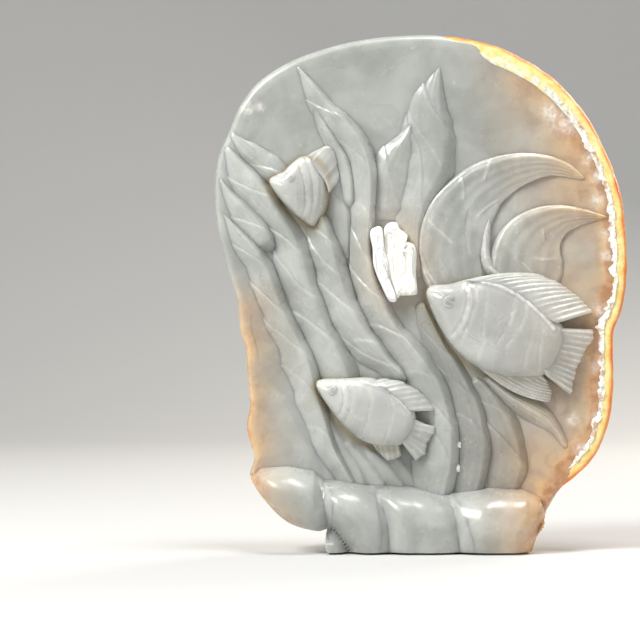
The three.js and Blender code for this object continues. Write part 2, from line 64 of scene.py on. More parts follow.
REED_SPREAD = 1.1  # reeds are this much wider than their stations say
REED_RISE = 0.84  # and this much of their height
LEFT_RIM = -54  # x beyond which a reed's start runs on past the rim
BEHIND_BOULDERS = 27  # z below which a reed's end runs on behind the boulders
STEP_DROP = 0.4  # mm from a sheath's edge down to the reed below it
FIN_ROWS = 24
BANK_HEIGHT = 12.4
CLEFT_DEPTH = 3.8
OVERLAP = 2.2  # mm that each boulder runs into its neighbours

SILHOUETTE = [
 [4, 150], [20, 147.6], [33, 141.6], [41, 135.4], [48.6, 126.4], [54.2, 115.6], [57.8, 106], [59.6, 96],
 [60.1, 86], [59.8, 77], [58.4, 69.6], [56.3, 64.2], [56.1, 58], [56.2, 48], [55, 38], [52.2, 30.2],
 [49, 25.4], [45.4, 22], [40.6, 18], [37.2, 13], [33.6, 6], [30.6, -4], [24, -24], [4, -50], [-12, -24],
 [-19, -3], [-25, 6.6], [-30, 6.5], [-38, 8.9], [-44.5, 14.8], [-49.3, 22], [-48.3, 27.4], [-50.4, 35.4],
 [-49.5, 43], [-50.3, 52.4], [-50.6, 58.4], [-52.4, 65], [-53.2, 73], [-56.4, 83.6], [-58.8, 94],
 [-59.7, 104], [-59, 113.4], [-55.4, 122.4], [-52.4, 129.4], [-46, 137.2], [-34, 144], [-16, 148.8],
]

REEDS = {
 "reed_rim": {
  "lean": 0.35,
  "stations": [
   [-57.6, 107, 0.9, 2.6], [-55.4, 102.6, 2.1, 3.1], [-52, 98.6, 2.9, 3.6], [-48.4, 94.8, 3, 3.9],
   [-45, 90.6, 2.6, 3.7], [-42, 86.2, 1.3, 2.4],
  ],
 },
 "reed_outer": {
  "lean": 0.4,
  "stations": [
   [-56.9, 97.4, 0.8, 2], [-53.8, 92.2, 2.3, 3], [-50, 87.6, 3, 3.9], [-47, 83.4, 3, 4.4],
   [-44.9, 78, 3.1, 4.4], [-43, 73, 3.1, 4.3], [-40.3, 67, 3, 4.3], [-37.2, 61, 3, 4.2],
   [-34.7, 55.4, 3.2, 4.2], [-33, 50, 3, 3.9], [-31.4, 44, 2.7, 3.5], [-28.8, 37, 2.3, 3.1],
   [-26.4, 30, 2, 2.9], [-23, 24, 1.8, 2.9], [-20, 19, 1.6, 2.8],
  ],
 },
 "reed_left": {
  "lean": 0.3,
  "stations": [
   [-55.8, 116, 1.6, 3], [-53.2, 111.2, 3.2, 3.9], [-50, 107.2, 3.9, 4.5], [-46.9, 103.6, 3.6, 4.7],
   [-43.7, 99.4, 3, 4.6], [-40.6, 95, 3, 4.5], [-37.9, 90, 3.4, 4.5], [-36, 84, 3.7, 4.6],
   [-34.4, 78.4, 3.6, 4.6], [-32.6, 73, 3.3, 4.5], [-30.4, 67.6, 3.3, 4.4], [-27.9, 62, 3.1, 4.3],
   [-25.4, 57, 3.2, 4.1], [-23.2, 52, 3.2, 3.4], [-21, 45, 2.6, 2.2],
  ],
 },
 "reed_mid": {
  "lean": 0.35,
  "stations": [
   [-30.4, 99.6, 1.2, 2.6], [-29, 95, 2.2, 3.7], [-27.7, 89.6, 2.9, 4.2], [-26.4, 84, 3.2, 4.5],
   [-24.9, 78.6, 3.3, 4.6], [-23.1, 73.4, 3.2, 4.7], [-20.9, 68.4, 3.2, 4.8], [-17.8, 63.4, 3.1, 4.9],
   [-14.4, 59.4, 2.8, 4.8], [-10.6, 55.6, 2.2, 4.5], [-6.8, 52, 1.7, 3.9], [-3, 48.4, 1.3, 3.2],
  ],
 },
 "reed_behind_fish": {
  "lean": 0.5,
  "stations": [
   [-27.4, 114, 1.6, 3.4], [-25.6, 108, 2.5, 3.6], [-24.2, 102.4, 2.9, 3.6], [-23, 97, 2.6, 3.2],
   [-22.4, 91, 1.9, 2.5], [-22, 85, 1, 1.6],
  ],
 },
 "reed_crown_left": {
  "lean": -0.2,
  "stations": [
   [-55.2, 122, 1.1, 2.9], [-51.8, 118.2, 2.3, 3.7], [-48.4, 115, 3, 4], [-45, 112, 3.1, 4],
   [-41.4, 108.6, 2.6, 3.6], [-38, 105, 1.6, 2.8],
  ],
 },
 "reed_narrow": {
  "lean": 0.2,
  "stations": [
   [-31.4, 130, 0.7, 2.2], [-28.6, 125, 1.3, 3], [-25.6, 119.8, 1.7, 3.6], [-23, 114.8, 1.9, 3.8],
   [-21.4, 109.6, 2, 3.6], [-20.7, 104, 1.9, 3.2], [-21, 98, 1.2, 2.2],
  ],
 },
 "reed_centre": {
  "lean": 0.45,
  "stations": [
   [-36.4, 141.4, 0.6, 2.2], [-32.2, 135, 1.8, 3.2], [-27.8, 128.6, 2.6, 4], [-23.6, 123.8, 3, 4.6],
   [-19.7, 119, 3.3, 4.8], [-17.2, 113.6, 3.3, 4.7], [-16.3, 107, 3, 4.3], [-16.1, 100.6, 2.6, 3.9],
   [-16.5, 94, 2.1, 3.6], [-16.7, 87.4, 2.1, 3.6], [-15.8, 80.6, 2.3, 4], [-13.9, 74.6, 2.5, 4.3],
   [-11.3, 68.8, 2.7, 4.5], [-7.6, 62.8, 2.9, 4.7], [-3.4, 57.4, 3.4, 4.7], [0.6, 52, 3.7, 4.5],
   [3.8, 46, 3.8, 4.3], [5.7, 39.4, 3.9, 4.1], [6.3, 33, 4.1, 4], [6, 26.6, 4.3, 3.9],
   [4.6, 19, 3.9, 3.4],
  ],
 },
 "reed_broad": {
  "lean": -0.3,
  "stations": [
   [-2.4, 124.6, 0.5, 2], [-3.9, 120, 1.9, 2.7], [-6, 115.4, 3.6, 3], [-7.9, 110.4, 4.4, 3.1],
   [-8.7, 105, 4, 2.9], [-8.8, 100, 3.3, 2.4], [-9, 95.6, 2.6, 1.6],
  ],
 },
 "reed_tall": {
  "lean": 0.4,
  "stations": [
   [5.6, 142.4, 0.6, 2], [3.8, 136, 2.8, 3], [2.8, 130, 4.3, 3.6], [3.1, 124, 4.8, 3.9],
   [3.5, 118, 5, 3.9], [2.9, 112.6, 5, 3.7], [1.2, 107.2, 4.4, 3.4], [-0.8, 102, 3.6, 3.1],
   [-2, 96.6, 2.7, 2.7], [-2, 91, 1.9, 2.3], [-1.2, 85, 1.2, 1.9], [-0.4, 79, 0.7, 1.4],
  ],
 },
 "reed_low_inner": {
  "lean": 0.55,
  "stations": [
   [0, 72.6, 0.9, 1.4], [2.2, 66.6, 1.6, 2], [4.9, 60.4, 2.2, 2.7], [7.7, 54.8, 2.8, 3.2],
   [10.6, 49.4, 3.3, 3.5], [13, 43.6, 3.9, 3.6], [14.6, 37.6, 4.4, 3.6], [15.3, 31.4, 4.6, 3.5],
   [14.9, 25.4, 4.4, 3.3], [13.6, 18.6, 4, 2.9],
  ],
 },
 "reed_low_outer": {
  "lean": 0.55,
  "stations": [
   [15, 50.4, 1.3, 1.8], [18, 46.4, 2.5, 2.4], [20.7, 41.8, 3.5, 2.9], [22.9, 36.8, 4.3, 3.1],
   [24.7, 31.4, 4.9, 3.1], [25.5, 26, 5, 3], [24.4, 19, 4.4, 2.6],
  ],
 },
 "frond_large": {
  "lean": -0.78,
  "stations": [
   [47.6, 107.8, 0.5, 2], [42.8, 110.5, 1.8, 2.5], [36.8, 111.9, 2.9, 2.7], [30.8, 111.4, 4.2, 2.6],
   [24.8, 109.5, 5.5, 2.4], [18.9, 106.2, 6.7, 2.1], [14.5, 101.6, 8, 1.8], [11.2, 96.8, 9, 1.5],
   [9.2, 91.4, 9.2, 1.3], [8.7, 85.4, 8.6, 1.1], [10.2, 79, 7.6, 0.9],
  ],
 },
 "frond_lip": {
  "lean": 0,
  "stations": [
   [20.6, 99, 0.5, 2.6], [19.3, 94, 0.9, 3.3], [18.7, 89.4, 1.1, 4], [18.8, 85.6, 1.3, 4.4],
   [20.4, 82.2, 1.2, 4.4], [23.4, 80, 0.8, 4],
  ],
 },
 "frond_curled": {
  "lean": -0.8,
  "stations": [
   [54.4, 96.7, 0.4, 2.2], [50, 97.1, 1.5, 2.5], [45.6, 97.1, 2.7, 2.5], [41, 96.4, 4.2, 2.3],
   [36.6, 94.2, 6.4, 1.9], [33.2, 90.6, 8.7, 1.5], [31.4, 86.2, 9.6, 1.2], [30.6, 81, 9.6, 0.9],
   [30.6, 76, 8.6, 0.7],
  ],
 },
 "streamer_fin": {
  "lean": -0.1,
  "stations": [
   [18.8, 51, 0.7, 2.6], [23.2, 47.2, 1.2, 2.8], [27.8, 43.8, 1.6, 2.9], [32.4, 41.2, 1.9, 2.8],
   [36.4, 38.7, 1.9, 2.6], [39.6, 35.2, 1.3, 2.2], [42, 31, 1, 1.9], [43.8, 27.4, 0.5, 1.5],
  ],
 },
}

FISH = {
 "fish_large_body": {
  "outline": [
   [1.6, 75.4], [3.2, 77.3], [8, 77.7], [14, 79.2], [20, 79.7], [26, 78.4], [32, 74.6], [37.4, 69.4],
   [41.2, 65.2], [41.4, 61.4], [39.6, 56.4], [36.6, 51.9], [30, 50.8], [23, 51.4], [16, 53.9], [10, 58.8],
   [5.6, 65.2], [2.6, 71.4],
  ],
  "axis": [[11, 71.5], [32, 60.5]],
  "edge": 3.6,
  "crest": 9.6,
 },
 "fish_lower_body": {
  "outline": [
   [-30.2, 49.2], [-28.4, 50.3], [-22, 50.5], [-14, 50.6], [-8.4, 47.8], [-3.4, 43.6], [-1.4, 39.4],
   [-2.2, 35.2], [-5.6, 31.4], [-11, 31], [-17, 32.6], [-22.6, 37.2], [-27, 42.8], [-29.6, 46.8],
  ],
  "axis": [[-24, 46], [-9, 38.5]],
  "edge": 3.4,
  "crest": 8.4,
 },
 "fish_upper_body": {
  "outline": [
   [-43.8, 107.4], [-41.8, 109.2], [-39.6, 110.2], [-37.2, 112.6], [-34, 114.6], [-29.6, 114.2],
   [-26.6, 109.6], [-26.4, 103], [-28, 97.4], [-30.8, 94.4], [-34, 96], [-38, 99.3], [-41.4, 103.2],
  ],
  "axis": [[-37, 105.6], [-31, 104]],
  "edge": 3,
  "crest": 7.4,
 },
}

BOULDERS = {
 "boulder_left": {
  "outline": [
   [-49.2, 23.4], [-46, 25.2], [-38, 25.4], [-31, 24.8], [-28.4, 20], [-27.6, 13], [-28.8, 7.4], [-34, 7],
   [-40, 9.9], [-45.4, 16],
  ],
  "axis": [[-41, 18.5], [-34, 14]],
 },
 "boulder_middle_left": {
  "outline": [
   [-29, 21.6], [-22, 21.4], [-15, 19.8], [-10.6, 14.6], [-9.2, 8], [-10, -3], [-22, -3], [-26.8, 7],
   [-28.6, 15],
  ],
  "axis": [[-21, 13], [-17, 5]],
 },
 "boulder_middle_right": {
  "outline": [[-11, 20], [-2, 19.8], [4, 18], [8.8, 14], [11.2, 8], [12, -3], [-9, -3], [-9.4, 8]],
  "axis": [[-2, 11], [2, 4]],
 },
 "boulder_right": {
  "outline": [
   [8, 17.6], [14, 18.4], [22, 19.2], [30, 18.8], [34.6, 16.4], [36.4, 11], [34, 5], [28, -3], [14, -3],
   [9.6, 8],
  ],
  "axis": [[17, 9], [27, 9]],
 },
}

CRYSTALS = {
 "quartz_slab_left": {
  "face": 3.4,
  "outline": [
   [-14.5, 91.8], [-13.2, 93.4], [-11.2, 93.2], [-10.6, 88], [-9.4, 80.6], [-7.2, 74], [-8.8, 73.2],
   [-10.2, 75.2], [-12.6, 81.4], [-13.6, 87.6],
  ],
 },
 "quartz_slab_right": {
  "face": 2.7,
  "outline": [
   [-10, 93.8], [-7.2, 95], [-5.8, 93], [-3.9, 91.2], [-4.6, 89.6], [-2, 88], [-1.7, 81], [-1.2, 76.2],
   [-2, 75.1], [-5.6, 75], [-6.8, 74.4], [-8.8, 80.6], [-10.1, 88],
  ],
 },
}

# Where each reed's sheaths end in a slanted step, as z levels
STEPS = {
    "reed_rim": [93.5],
    "reed_outer": [83.0, 69.5, 58.4, 46.0, 34.0],
    "reed_left": [103.0, 88.0, 74.5, 62.5],
    "reed_mid": [90.5, 80.5, 70.5, 60.5, 53.5],
    "reed_behind_fish": [100.0],
    "reed_crown_left": [112.0],
    "reed_narrow": [116.0],
    "reed_centre": [126.0, 112.0, 98.0, 85.0, 74.0, 62.0, 50.5, 38.0, 27.0],
    "reed_broad": [110.0],
    "reed_tall": [126.0, 113.5, 101.0],
    "reed_low_inner": [57.0, 45.0, 34.5],
    "reed_low_outer": [40.0, 27.5],
}

# Elements in lower relief: share of their height
FLAT = {
    "reed_broad": 0.62, "reed_tall": 0.72, "reed_behind_fish": 0.55, "reed_narrow": 0.8,
    "reed_crown_left": 0.85, "frond_lip": 0.45,
}

# Elements that lie deeper, under the fish, in mm
SUNK = {"reed_low_inner": 0.9, "reed_low_outer": 1.3, "streamer_fin": 0.3, "reed_behind_fish": 0.4}

# Fins, each ruled from a line on the body to its free edge: base, tip, height at both, number of rays
FINS = {
    "fish_large_dorsal_fin": dict(
        base=[(13, 78.8), (21, 77), (28, 73.6), (34, 68.8), (39, 66.4)],
        tip=[(33.4, 80.9), (39, 78.6), (43.6, 75.4), (47.2, 72.3), (50, 69.6)],
        heights=(7.6, 3.4), rays=12, sag=-0.9,
    ),
    "fish_large_tail_fin": dict(
        base=[(38, 65), (35.8, 60.6), (35.2, 56.6), (35.2, 53.2), (36, 51.2)],
        tip=[(50.3, 64.6), (49.8, 62), (48.2, 59), (46, 55.4), (44.6, 51.2), (43.2, 45.8)],
        heights=(7.4, 2.8), rays=11, start=0.25,
    ),
    "fish_large_anal_fin": dict(
        base=[(15, 54.8), (18, 53.6), (22.5, 52.4), (28.5, 51.6), (35, 51.6)],
        tip=[(36.8, 43.4), (37.6, 44.6), (37.8, 46.2), (37.4, 48), (36.8, 49.8)],
        heights=(4.6, 2.2), rays=8, sag=2.2,
    ),
    "fish_lower_dorsal_fin": dict(
        base=[(-16, 49.6), (-10.4, 47.4), (-6.4, 44.6), (-3.2, 41)],
        tip=[(-10.4, 50.6), (-4.4, 49.1), (1, 45.6), (4.6, 41.2)],
        heights=(6.8, 3.2), rays=8, relief=0.12,
    ),
    "fish_lower_tail_fin": dict(
        base=[(-2.6, 39.4), (-3.8, 36), (-5.6, 32)],
        tip=[(1, 37.4), (4.4, 36), (2.4, 32), (0.8, 28.6), (-1.2, 26.2)],
        heights=(5.8, 2.8), rays=7, relief=0.12,
    ),
    "fish_lower_pelvic_fin": dict(
        base=[(-15, 33), (-11, 33), (-6.6, 32.6)],
        tip=[(-13, 29.8), (-9.4, 26.9), (-5.4, 28)],
        heights=(4.4, 2.4), rays=5, relief=0.1,
    ),
    "fish_upper_dorsal_fin": dict(
        base=[(-37, 111.4), (-32, 111.6), (-28, 108), (-26.5, 104)],
        tip=[(-32, 115.6), (-25.4, 118.4), (-23.8, 114), (-23.2, 108)],
        heights=(4.4, 0.9), rays=5, relief=0.1,
    ),
}

# Lines engraved in the bodies and the fronds: points, depth and half width in mm. Below 0 it is a ridge.
ENGRAVED = {
    "fish_large_body": [
        ([(1.4, 75.2), (3.6, 75), (5.4, 74.2)], 0.5, 0.35),
        ([(12.2, 79), (13.2, 74), (12.4, 69), (8.8, 62.6)], 0.4, 0.45),
        ([(14.6, 79.4), (15.4, 74), (14.6, 69), (11.2, 61)], 0.24, 0.38),
        ([(18.4, 79.8), (18.8, 74), (17.8, 67), (17.4, 63)], 0.18, 0.35),
        ([(27, 75.6), (26.6, 72), (24.8, 66), (21.6, 60.6)], 0.24, 0.38),
        ([(30, 73.2), (29.6, 69.6), (28, 65), (24, 59.6)], 0.24, 0.38),
        ([(33, 68), (31.4, 62), (30, 58), (29.4, 53.6)], 0.16, 0.36),
        ([(35, 64.6), (34, 60), (33.6, 56), (33.8, 53)], 0.16, 0.36),
        ([(12.4, 64.5), (14.8, 62.3), (17.6, 61.5), (17.2, 59.6), (16.2, 55.6)], 0.2, 0.38),
        ([(14, 78.9), (22, 77.2), (28.6, 73.8), (34.4, 69), (38, 64.8)], -0.4, 0.6),
        ([(20.6, 71.6), (24.4, 67.6)], 0.12, 0.3),
        ([(21.6, 66.4), (26.4, 69.8)], 0.12, 0.3),
    ],
    "fish_lower_body": [
        ([(-30.2, 48.6), (-28, 48.2), (-26.6, 47.4)], 0.45, 0.32),
        ([(-23.6, 50.4), (-22.2, 46), (-23, 41), (-24.6, 38.6)], 0.32, 0.42),
        ([(-21.4, 50.4), (-20, 45), (-20.8, 40.4), (-22.2, 36.6)], 0.18, 0.36),
        ([(-16.2, 50.4), (-14.6, 45), (-15.6, 38), (-17.4, 33.4)], 0.14, 0.36),
        ([(-9.6, 48.2), (-8.4, 42), (-9.4, 36), (-10.6, 31.4)], 0.14, 0.36),
        ([(-21, 41.6), (-18.6, 39.3), (-16.4, 38.9)], 0.2, 0.36),
        ([(-17, 49.8), (-10, 47.2), (-5.6, 43.4), (-3.2, 40.6)], -0.3, 0.5),
    ],
    "fish_upper_body": [
        ([(-43.8, 107), (-41.6, 107.2), (-40.4, 106.6)], 0.4, 0.32),
        ([(-35.4, 113.4), (-33.5, 107), (-33.2, 101), (-34, 96.4)], 0.3, 0.4),
        ([(-33.2, 114), (-31.2, 107.4), (-31, 101), (-31.8, 95.6)], 0.2, 0.38),
        ([(-29.6, 113), (-28.8, 107), (-29, 100)], 0.14, 0.36),
    ],
    "frond_large": [
        ([(20.4, 114.2), (19.4, 111), (18.4, 107.8)], -0.3, 0.35),
        ([(11.8, 108.2), (12.4, 105.4), (12.4, 102.6)], -0.22, 0.35),
        ([(22.4, 102), (19.6, 100.2), (16.8, 97.6)], -0.25, 0.3),
        ([(2.6, 95.8), (5.6, 93), (9.2, 89.6)], -0.3, 0.35),
        ([(-0.4, 87.2), (1.6, 82.4), (4.4, 77.6)], -0.28, 0.35),
        ([(14, 99), (13.2, 93), (14, 87)], 0.2, 0.4),
    ],
    "frond_curled": [
        ([(27.4, 95.2), (28.2, 92.4)], -0.28, 0.3),
        ([(35.4, 93.2), (35.8, 90.2)], -0.25, 0.3),
        ([(32.6, 85.4), (36, 84.8), (39.4, 85.2)], -0.22, 0.3),
        ([(29.8, 83.8), (32.6, 80.8)], -0.25, 0.3),
        ([(24, 90), (27, 86.4), (28, 81)], 0.18, 0.4),
    ],
}

# Milky clouds near the crystal, and places where the ground is cut deeper or, below 0, less deep:
# x, z, radius and strength
CLOUDS = [
    (38.5, 127, 3, 0.9), (42.5, 123.5, 2.2, 0.9), (48.5, 114, 2, 0.8), (51, 108.5, 1.8, 0.9),
    (51.5, 102, 2, 0.7), (54, 92, 1.8, 0.7), (54, 86, 1.8, 0.7), (52, 70, 2, 0.6), (53, 60, 1.6, 0.7),
    (51, 54, 1.8, 0.6), (44, 38.5, 1.6, 0.7), (51, 39, 1.6, 0.7), (46.5, 30, 2, 0.7),
    (-50, 128.5, 1.6, 0.7), (-46.5, 129, 1.2, 0.7),
]
HOLLOWS = [
    (-19, 86, 3.4, 1.1), (-19, 78, 3, 0.8), (-54, 101, 3, 0.7), (6, 68, 4, 0.6), (20, 44, 4, 0.5),
    (44, 72, 4, 0.5), (-46, 60, 6, 0.5), (24, 38, 13, 0.9), (-33, 122, 7, 0.5), (30, 100, 5, -0.9),
    (24, 96, 3, -0.6), (-12, 83, 4, 0.5), (35, 58, 6, 0.3),
]

# The boulders' top ridge, and the clefts between them
BANK_TOP = [
    (-50, 22.6), (-46, 25.4), (-38, 25.8), (-31, 24.6), (-28, 21.8), (-22, 21.6), (-15, 20.2), (-9, 20),
    (-2, 19.6), (4, 18.2), (8, 17.8), (14, 18.6), (22, 19.4), (30, 19), (34.6, 16.8), (37, 11),
]
CLEFTS = [
    [(-31.4, 26), (-29, 19), (-27.8, 13), (-26.8, 5)],
    [(-16.4, 22), (-12, 15), (-9.6, 8), (-9.4, -2)],
    [(5.6, 20), (9, 14), (10, 8), (11.4, -2)],
]

# Profiles of an eye and a speck of crystal: share of the radius and rise
EYE_PROFILE = [
    (0.02, 0.075), (0.14, 0.075), (0.26, 0.045), (0.36, -0.045), (0.48, 0), (0.62, 0.09), (0.76, 0.105),
    (0.88, 0.06), (0.97, -0.03), (1.0, -0.1875), (1.0, -1.2),
]
SPECK_PROFILE = [
    (0.03, 0.42), (0.3, 0.4), (0.55, 0.3), (0.8, 0.12), (0.95, -0.1), (1.0, -0.4), (0.9, -1.2),
]

# Faint leaves of the ground: points along the crisp edge, half width and height
GROUND_LEAVES = [
    ([(-27, 38), (-23.4, 32), (-19, 25), (-16.6, 20)], 3.4, 1.5),
    ([(-20.6, 31), (-15.4, 25.6), (-11, 19.6)], 3.0, 1.4),
    ([(-13, 28), (-8, 22.6), (-4.6, 18)], 2.8, 1.3),
    ([(-6, 26), (-2.4, 21), (0, 16)], 2.4, 1.0),
    ([(-40, 44), (-36, 36), (-31.6, 27), (-30, 22)], 3.0, 0.8),
    ([(38, 66), (35.4, 58), (36.6, 50), (41, 42)], 3.0, 0.6),
]


# Curves and fields


def spline(points, step=None, count=None, closed=False):
    """Catmull-Rom through the points, resampled evenly in x and z; any further columns are carried along."""
    p = np.array(points, float)
    if closed:
        ring = np.vstack([p[-1:], p, p[:2]])
    else:
        ring = np.vstack([2 * p[:1] - p[1:2], p, 2 * p[-1:] - p[-2:-1]])
    t = np.linspace(0, 1, 24, endpoint=False)[:, None]
    rows = []
    for i in range(len(ring) - 3):
        a, b, c, d = ring[i : i + 4]
        square = (2 * a - 5 * b + 4 * c - d) * t**2
        cube = (3 * b - a - 3 * c + d) * t**3
        rows.append(0.5 * (2 * b + (c - a) * t + square + cube))
    line = np.vstack([*rows, p[:1] if closed else p[-1:]])
    run = np.concatenate([[0], np.cumsum(np.hypot(*np.diff(line[:, :2], axis=0).T))])
    count = count or max(3, int(round(run[-1] / step)) + 1)
    at = np.linspace(0, run[-1], count, endpoint=not closed)
    return np.column_stack([np.interp(at, run, column) for column in line.T])


def ripple(x, z, size, seed):
    """Smooth noise from -1 to 1 with features of about that size, from a sum of waves."""
    rng = np.random.default_rng(seed)
    total = np.zeros(np.shape(x))
    for _ in range(9):
        angle = rng.uniform(0, 2 * math.pi)
        k = 2 * math.pi / (size * rng.uniform(0.7, 1.9))
        total = total + np.sin(k * (x * math.cos(angle) + z * math.sin(angle)) + rng.uniform(0, 2 * math.pi))
    return total / 5


def smoothstep(a, b, v):
    t = np.clip((v - a) / (b - a), 0, 1)
    return t * t * (3 - 2 * t)


def distance(x, z, line):
    """Distance from the nearest point of a line, in mm."""
    near = np.full(np.shape(x), np.inf)
    for px, pz in line:
        near = np.minimum(near, (x - px) ** 2 + (z - pz) ** 2)
    return np.sqrt(near)


def blobs(x, z, spots):
    """Sum of soft round spots with wobbly edges."""
    total = np.zeros(np.shape(x))
    for cx, cz, radius, strength in spots:
        wobble = 1 + 0.35 * ripple(x, z, radius * 1.6, int(cx * 10 + cz) % 97)
        total = total + strength * np.exp(-((np.hypot(x - cx, z - cz) / (radius * wobble)) ** 2))
    return total


def groove(x, z, lines):
    """Depth of engraved lines, with a faint burr on both sides."""
    depth = np.zeros(np.shape(x))
    for points, deep, half in lines:
        near = distance(x, z, spline(points, step=0.2))
        burr = 0.18 * deep * np.exp(-(((near - 2.2 * half) / half) ** 2))
        depth = depth + deep * np.exp(-((near / half) ** 2)) - burr
    return depth


def cells(x, z, size, stretch, seed):
    """Blocky field from 0 to 1: flat tilted cells of about that size, longer along z by stretch."""
    rng = np.random.default_rng(seed)
    lo = np.array([x.min(), z.min()]) - size
    hi = np.array([x.max(), z.max()]) + size
    nx = int((hi[0] - lo[0]) / size) + 1
    nz = int((hi[1] - lo[1]) / (size * stretch)) + 1
    height = rng.uniform(0, 1, (nx + 2, nz + 2))
    tilt = rng.uniform(-0.5, 0.5, (nx + 2, nz + 2, 2))
    jitter = rng.uniform(0.1, 0.9, (nx + 2, nz + 2, 2))
    gx = (x - lo[0]) / size
    gz = (z - lo[1]) / (size * stretch)
    best = np.full(np.shape(x), 1e9)
    field = np.zeros(np.shape(x))
    for di in (-1, 0, 1):
        for dj in (-1, 0, 1):
            i = np.clip(gx.astype(int) + di, 0, nx + 1)
            j = np.clip(gz.astype(int) + dj, 0, nz + 1)
            dx = gx - i - jitter[i, j, 0]
            dz = gz - j - jitter[i, j, 1]
            d = dx * dx + dz * dz
            value = height[i, j] + tilt[i, j, 0] * dx + tilt[i, j, 1] * dz
            field = np.where(d < best, value, field)
            best = np.minimum(best, d)
    return field


# The pebble's own shape

OUTLINE = HEART + TRIM * (spline(SILHOUETTE, count=520, closed=True) - HEART)
EDGE_LINE = spline(SILHOUETTE, step=1.0, closed=True)


def inside(x, z):
    """Distance in mm from the pebble's outline, seen from the front."""
    return distance(x, z, EDGE_LINE)


def ring(share):
    """The pebble's outline, drawn in towards its heart to that share of its size."""
    return HEART + (OUTLINE - HEART) * share


def share_of(x, z):
    """Distance from the heart of the pebble as a share of the way to its outline."""
    turn = np.unwrap(np.arctan2(OUTLINE[:, 1] - HEART[1], OUTLINE[:, 0] - HEART[0]))
    reach = np.hypot(*(OUTLINE - HEART).T)
    if turn[0] > turn[-1]:
        turn = turn[::-1]
        reach = reach[::-1]
    far = np.interp(np.arctan2(z - HEART[1], x - HEART[0]), turn, reach, period=2 * math.pi)
    return np.hypot(x - HEART[0], z - HEART[1]) / far


def warmth(x, z):
    """How far iron stains the jade, from 0 to 1: along the right rim, at the lower left, by the crystal."""
    d = inside(x, z)
    right = smoothstep(8, 40, x) * np.exp(-d / 17) * (0.95 + 0.3 * ripple(x, z, 22, 3))
    left = smoothstep(-30, -46, x) * smoothstep(84, 64, z) * np.exp(-d / 6.5)
    left = left * (1.1 + 0.5 * ripple(x, z, 14, 4))
    low = smoothstep(20, 34, x) * smoothstep(34, 12, z) * 0.1
    near = 0.5 * smoothstep(30, 46, x) * smoothstep(9, 4, d + 1.5 * ripple(x, z, 7, 8))
    nest = 0.45 * np.exp(-(((x + 6.5) / 8.5) ** 2) - ((z - 84) / 12) ** 2)
    pocket = smoothstep(34, 44, x) * smoothstep(7.5, 4.5, d) * smoothstep(0.1, 0.7, ripple(x, z, 4.5, 28))
    return np.clip(right + near + 0.7 * left + low + nest + 0.6 * pocket, 0, 1)


def painted_cut_shade(x, z, h):
    """Painted shade in the cuts round the fish bodies, from 0 to 1: darkest just below and left of each
    outline, where their shadow falls.
    """
    rims = np.vstack([spline(shape["outline"], step=0.9, closed=True) for shape in FISH.values()])
    near = distance(x + 0.5, z + 0.8, rims)
    return np.exp(-(near**2) / 1.5) * smoothstep(5.5, 3.0, h) * (h > -ROOT)


def tone_of(x, z, h):
    """Vertex colour that the materials read: red is stain, green is milkiness, blue is painted shade in the
    cuts round the fish.
    """
    milky = np.clip(blobs(x, z, CLOUDS), 0, 1)
    return np.column_stack([warmth(x, z), milky, painted_cut_shade(x, z, h), np.ones(len(x))])


EYE_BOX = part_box("fish_large_eye")
OFFSET = [
    (EYE_BOX[0][0] + EYE_BOX[1][0]) / 2 - EYE_AT[0] * MM,
    (EYE_BOX[0][1] + EYE_BOX[1][1]) / 2 + EYE_AT[2] * MM,
]

SURFACES = {}


def cut_below(bm, level):
    """Takes away what is below that level in metres and closes the cut."""
    everything = bm.verts[:] + bm.edges[:] + bm.faces[:]
    cut = bmesh.ops.bisect_plane(
        bm, geom=everything, plane_co=(0, 0, level), plane_no=(0, 0, 1), clear_inner=True,
    )["geom_cut"]
    bmesh.ops.holes_fill(bm, edges=[e for e in cut if isinstance(e, bmesh.types.BMEdge)], sides=0)


def piece(name, grid, material, crease, tone=None, cut_foot=0.0, white=0.0):
    """A closed mesh from rows of closed sections, each point x, z and h, with both ends closed by fans.

    Edges sharper than crease degrees stay sharp. The mesh is cut off cut_foot mm above the floor.
    """
    rows, cols = grid.shape[:2]
    points = np.vstack([grid.reshape(-1, 3), grid[0].mean(axis=0)[None], grid[-1].mean(axis=0)[None]])
    SURFACES[name] = grid.reshape(-1, 3)
    r, c = np.meshgrid(np.arange(rows - 1), np.arange(cols), indexing="ij")
    a = (r * cols + c).ravel()
    b = (r * cols + (c + 1) % cols).ravel()
    faces = [tuple(f) for f in np.column_stack([a, b, b + cols, a + cols])]
    last = (rows - 1) * cols
    first_hub = rows * cols
    for k in range(cols):
        n = (k + 1) % cols
        faces.append((first_hub, n, k))
        faces.append((first_hub + 1, last + k, last + n))
    world = np.column_stack([
        points[:, 0] * MM + OFFSET[0], -points[:, 2] * MM + OFFSET[1], points[:, 1] * MM,
    ])
    mesh = bpy.data.meshes.new(name)
    mesh.from_pydata(world.tolist(), [], faces)
    values = tone if tone is not None else tone_of(points[:-2, 0], points[:-2, 1], points[:-2, 2])
    # The piece's white is added to the green, the milkiness; on reeds, fronds and fish bodies much of it is
    # painted highlight
    values[:, 1] = np.clip(values[:, 1] + white, 0, 1)
    values = np.vstack([values, values[0], values[-1]])
    layer = mesh.attributes.new("tone", "FLOAT_COLOR", "POINT")
    layer.data.foreach_set("color", values.astype(np.float32).ravel())
    bm = bmesh.new()
    bm.from_mesh(mesh)
    if cut_foot:
        cut_below(bm, cut_foot * MM)
    bmesh.ops.triangulate(bm, faces=[f for f in bm.faces if len(f.verts) > 4])
    if bm.calc_volume(signed=True) < 0:
        bmesh.ops.reverse_faces(bm, faces=bm.faces[:])
    bm.to_mesh(mesh)
    bm.free()
    mesh.shade_smooth()
    mesh.set_sharp_from_angle(angle=math.radians(crease))
    obj = bpy.data.objects.new("look_" + name, mesh)
    bpy.context.scene.collection.objects.link(obj)
    mesh.materials.append(material)
    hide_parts(name)
    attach(obj, "root")
    return obj


